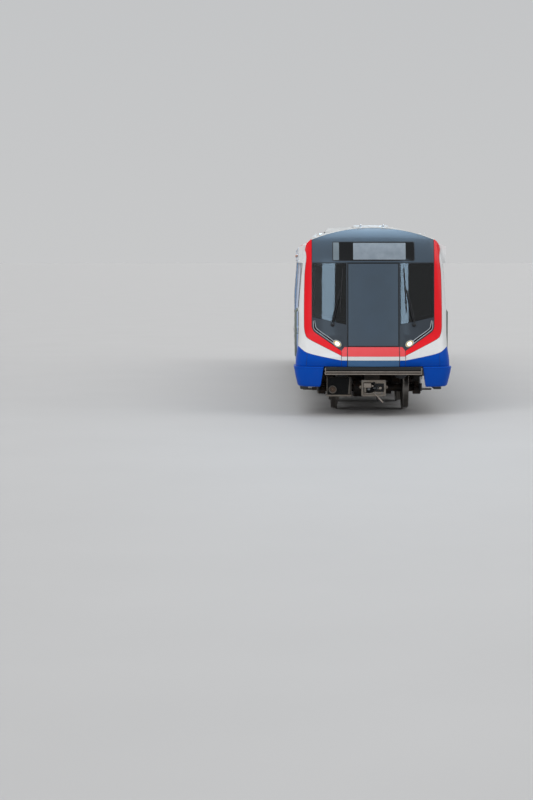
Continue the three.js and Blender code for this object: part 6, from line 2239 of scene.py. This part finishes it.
def reflection_lamps(context):
    """Bluish lamps that show only as reflections, in the windscreens and on the dome's upper curve."""
    for name, place, aim, width, height, watts in (
        # name, place, point it faces, width, height, watts
        ("left_strip", (-12.2, -38.0, 10.6), (-0.9, -10.5, 2.6), 4.0, 7.0, 620),
        ("right_strip", (11.0, -38.5, 10.4), (0.65, -10.5, 2.6), 1.9, 7.0, 330),
        ("dome_lamp", (0.0, -9.6, 7.9), (0.0, -9.5, 0.0), 7.5, 4.2, 720),
    ):
        data = bpy.data.lights.new(name, "AREA")
        data.shape = "RECTANGLE"
        data.size = width
        data.size_y = height
        data.energy = watts
        data.color = (0.55, 0.78, 1.0)
        lamp = bpy.data.objects.new(name, data)
        lamp.location = place
        lamp.rotation_euler = (Vector(aim) - Vector(place)).to_track_quat("-Z", "Y").to_euler()
        lamp.visible_camera = False
        lamp.visible_diffuse = False
        context.scene.collection.objects.link(lamp)


def front_camera(context, settings):
    """Camera 38 m in front of the cab, a little to its left, tilted down 4.24 degrees."""
    data = bpy.data.cameras.new("camera")
    data.lens = settings.lens
    data.sensor_width = 36.0
    data.clip_end = 3000.0
    camera = bpy.data.objects.new("camera", data)
    camera.location = (-1.68, -48.95, 3.17)
    camera.rotation_euler = (radians(90 - 4.24), 0, radians(0.71))
    context.scene.collection.objects.link(camera)
    context.scene.camera = camera
    context.scene.view_settings.view_transform = "Standard"


class Stage(Operator):
    """Pale floor, soft light all round, lamps for the shading and for the glass, and the camera"""
    bl_idname = "metro_car.stage"
    bl_label = "Stage"

    def execute(self, context):
        settings = context.scene.metro_stage
        studio_floor(context)
        soft_world(context, settings)
        far_lamps(context)
        reflection_lamps(context)
        front_camera(context, settings)
        return {"FINISHED"}


OPERATORS = (CarriedFinishes, NosePanels, Windscreens, FrontDoorSkin, HeadLamps, Wipers, CabSides,
    SideWindows, SaloonDoors, RoofGear, Wheelsets, BogieGear, FrontGear, Underfloor, RearEnd, Saloon,
    CabInside, Stage)
GROUPS = (("metro_livery", LiveryColours), ("metro_sizes", TrimSizes), ("metro_stage", StageSettings))


class CarPanel(Panel):
    """Lists the car's pieces in the order in which they are made"""
    bl_idname = "VIEW3D_PT_metro_car"
    bl_label = "Metro car"
    bl_space_type = "VIEW_3D"
    bl_region_type = "UI"
    bl_category = "Metro car"

    def draw(self, context):
        for name, _ in GROUPS:
            settings = getattr(context.scene, name)
            for key in settings.bl_rna.properties.keys():
                if key not in ("rna_type", "name"):
                    self.layout.prop(settings, key)
        for operator in OPERATORS:
            self.layout.operator(operator.bl_idname)


def register():
    for name, group in GROUPS:
        bpy.utils.register_class(group)
        setattr(bpy.types.Scene, name, PointerProperty(type=group))
    for item in (*OPERATORS, CarPanel):
        bpy.utils.register_class(item)


def unregister():
    for item in reversed((*OPERATORS, CarPanel)):
        bpy.utils.unregister_class(item)
    for name, group in reversed(GROUPS):
        delattr(bpy.types.Scene, name)
        bpy.utils.unregister_class(group)


def main():
    register()
    for operator in OPERATORS:
        group, name = operator.bl_idname.split(".")
        getattr(getattr(bpy.ops, group), name)()


if __name__ == "__main__":
    main()
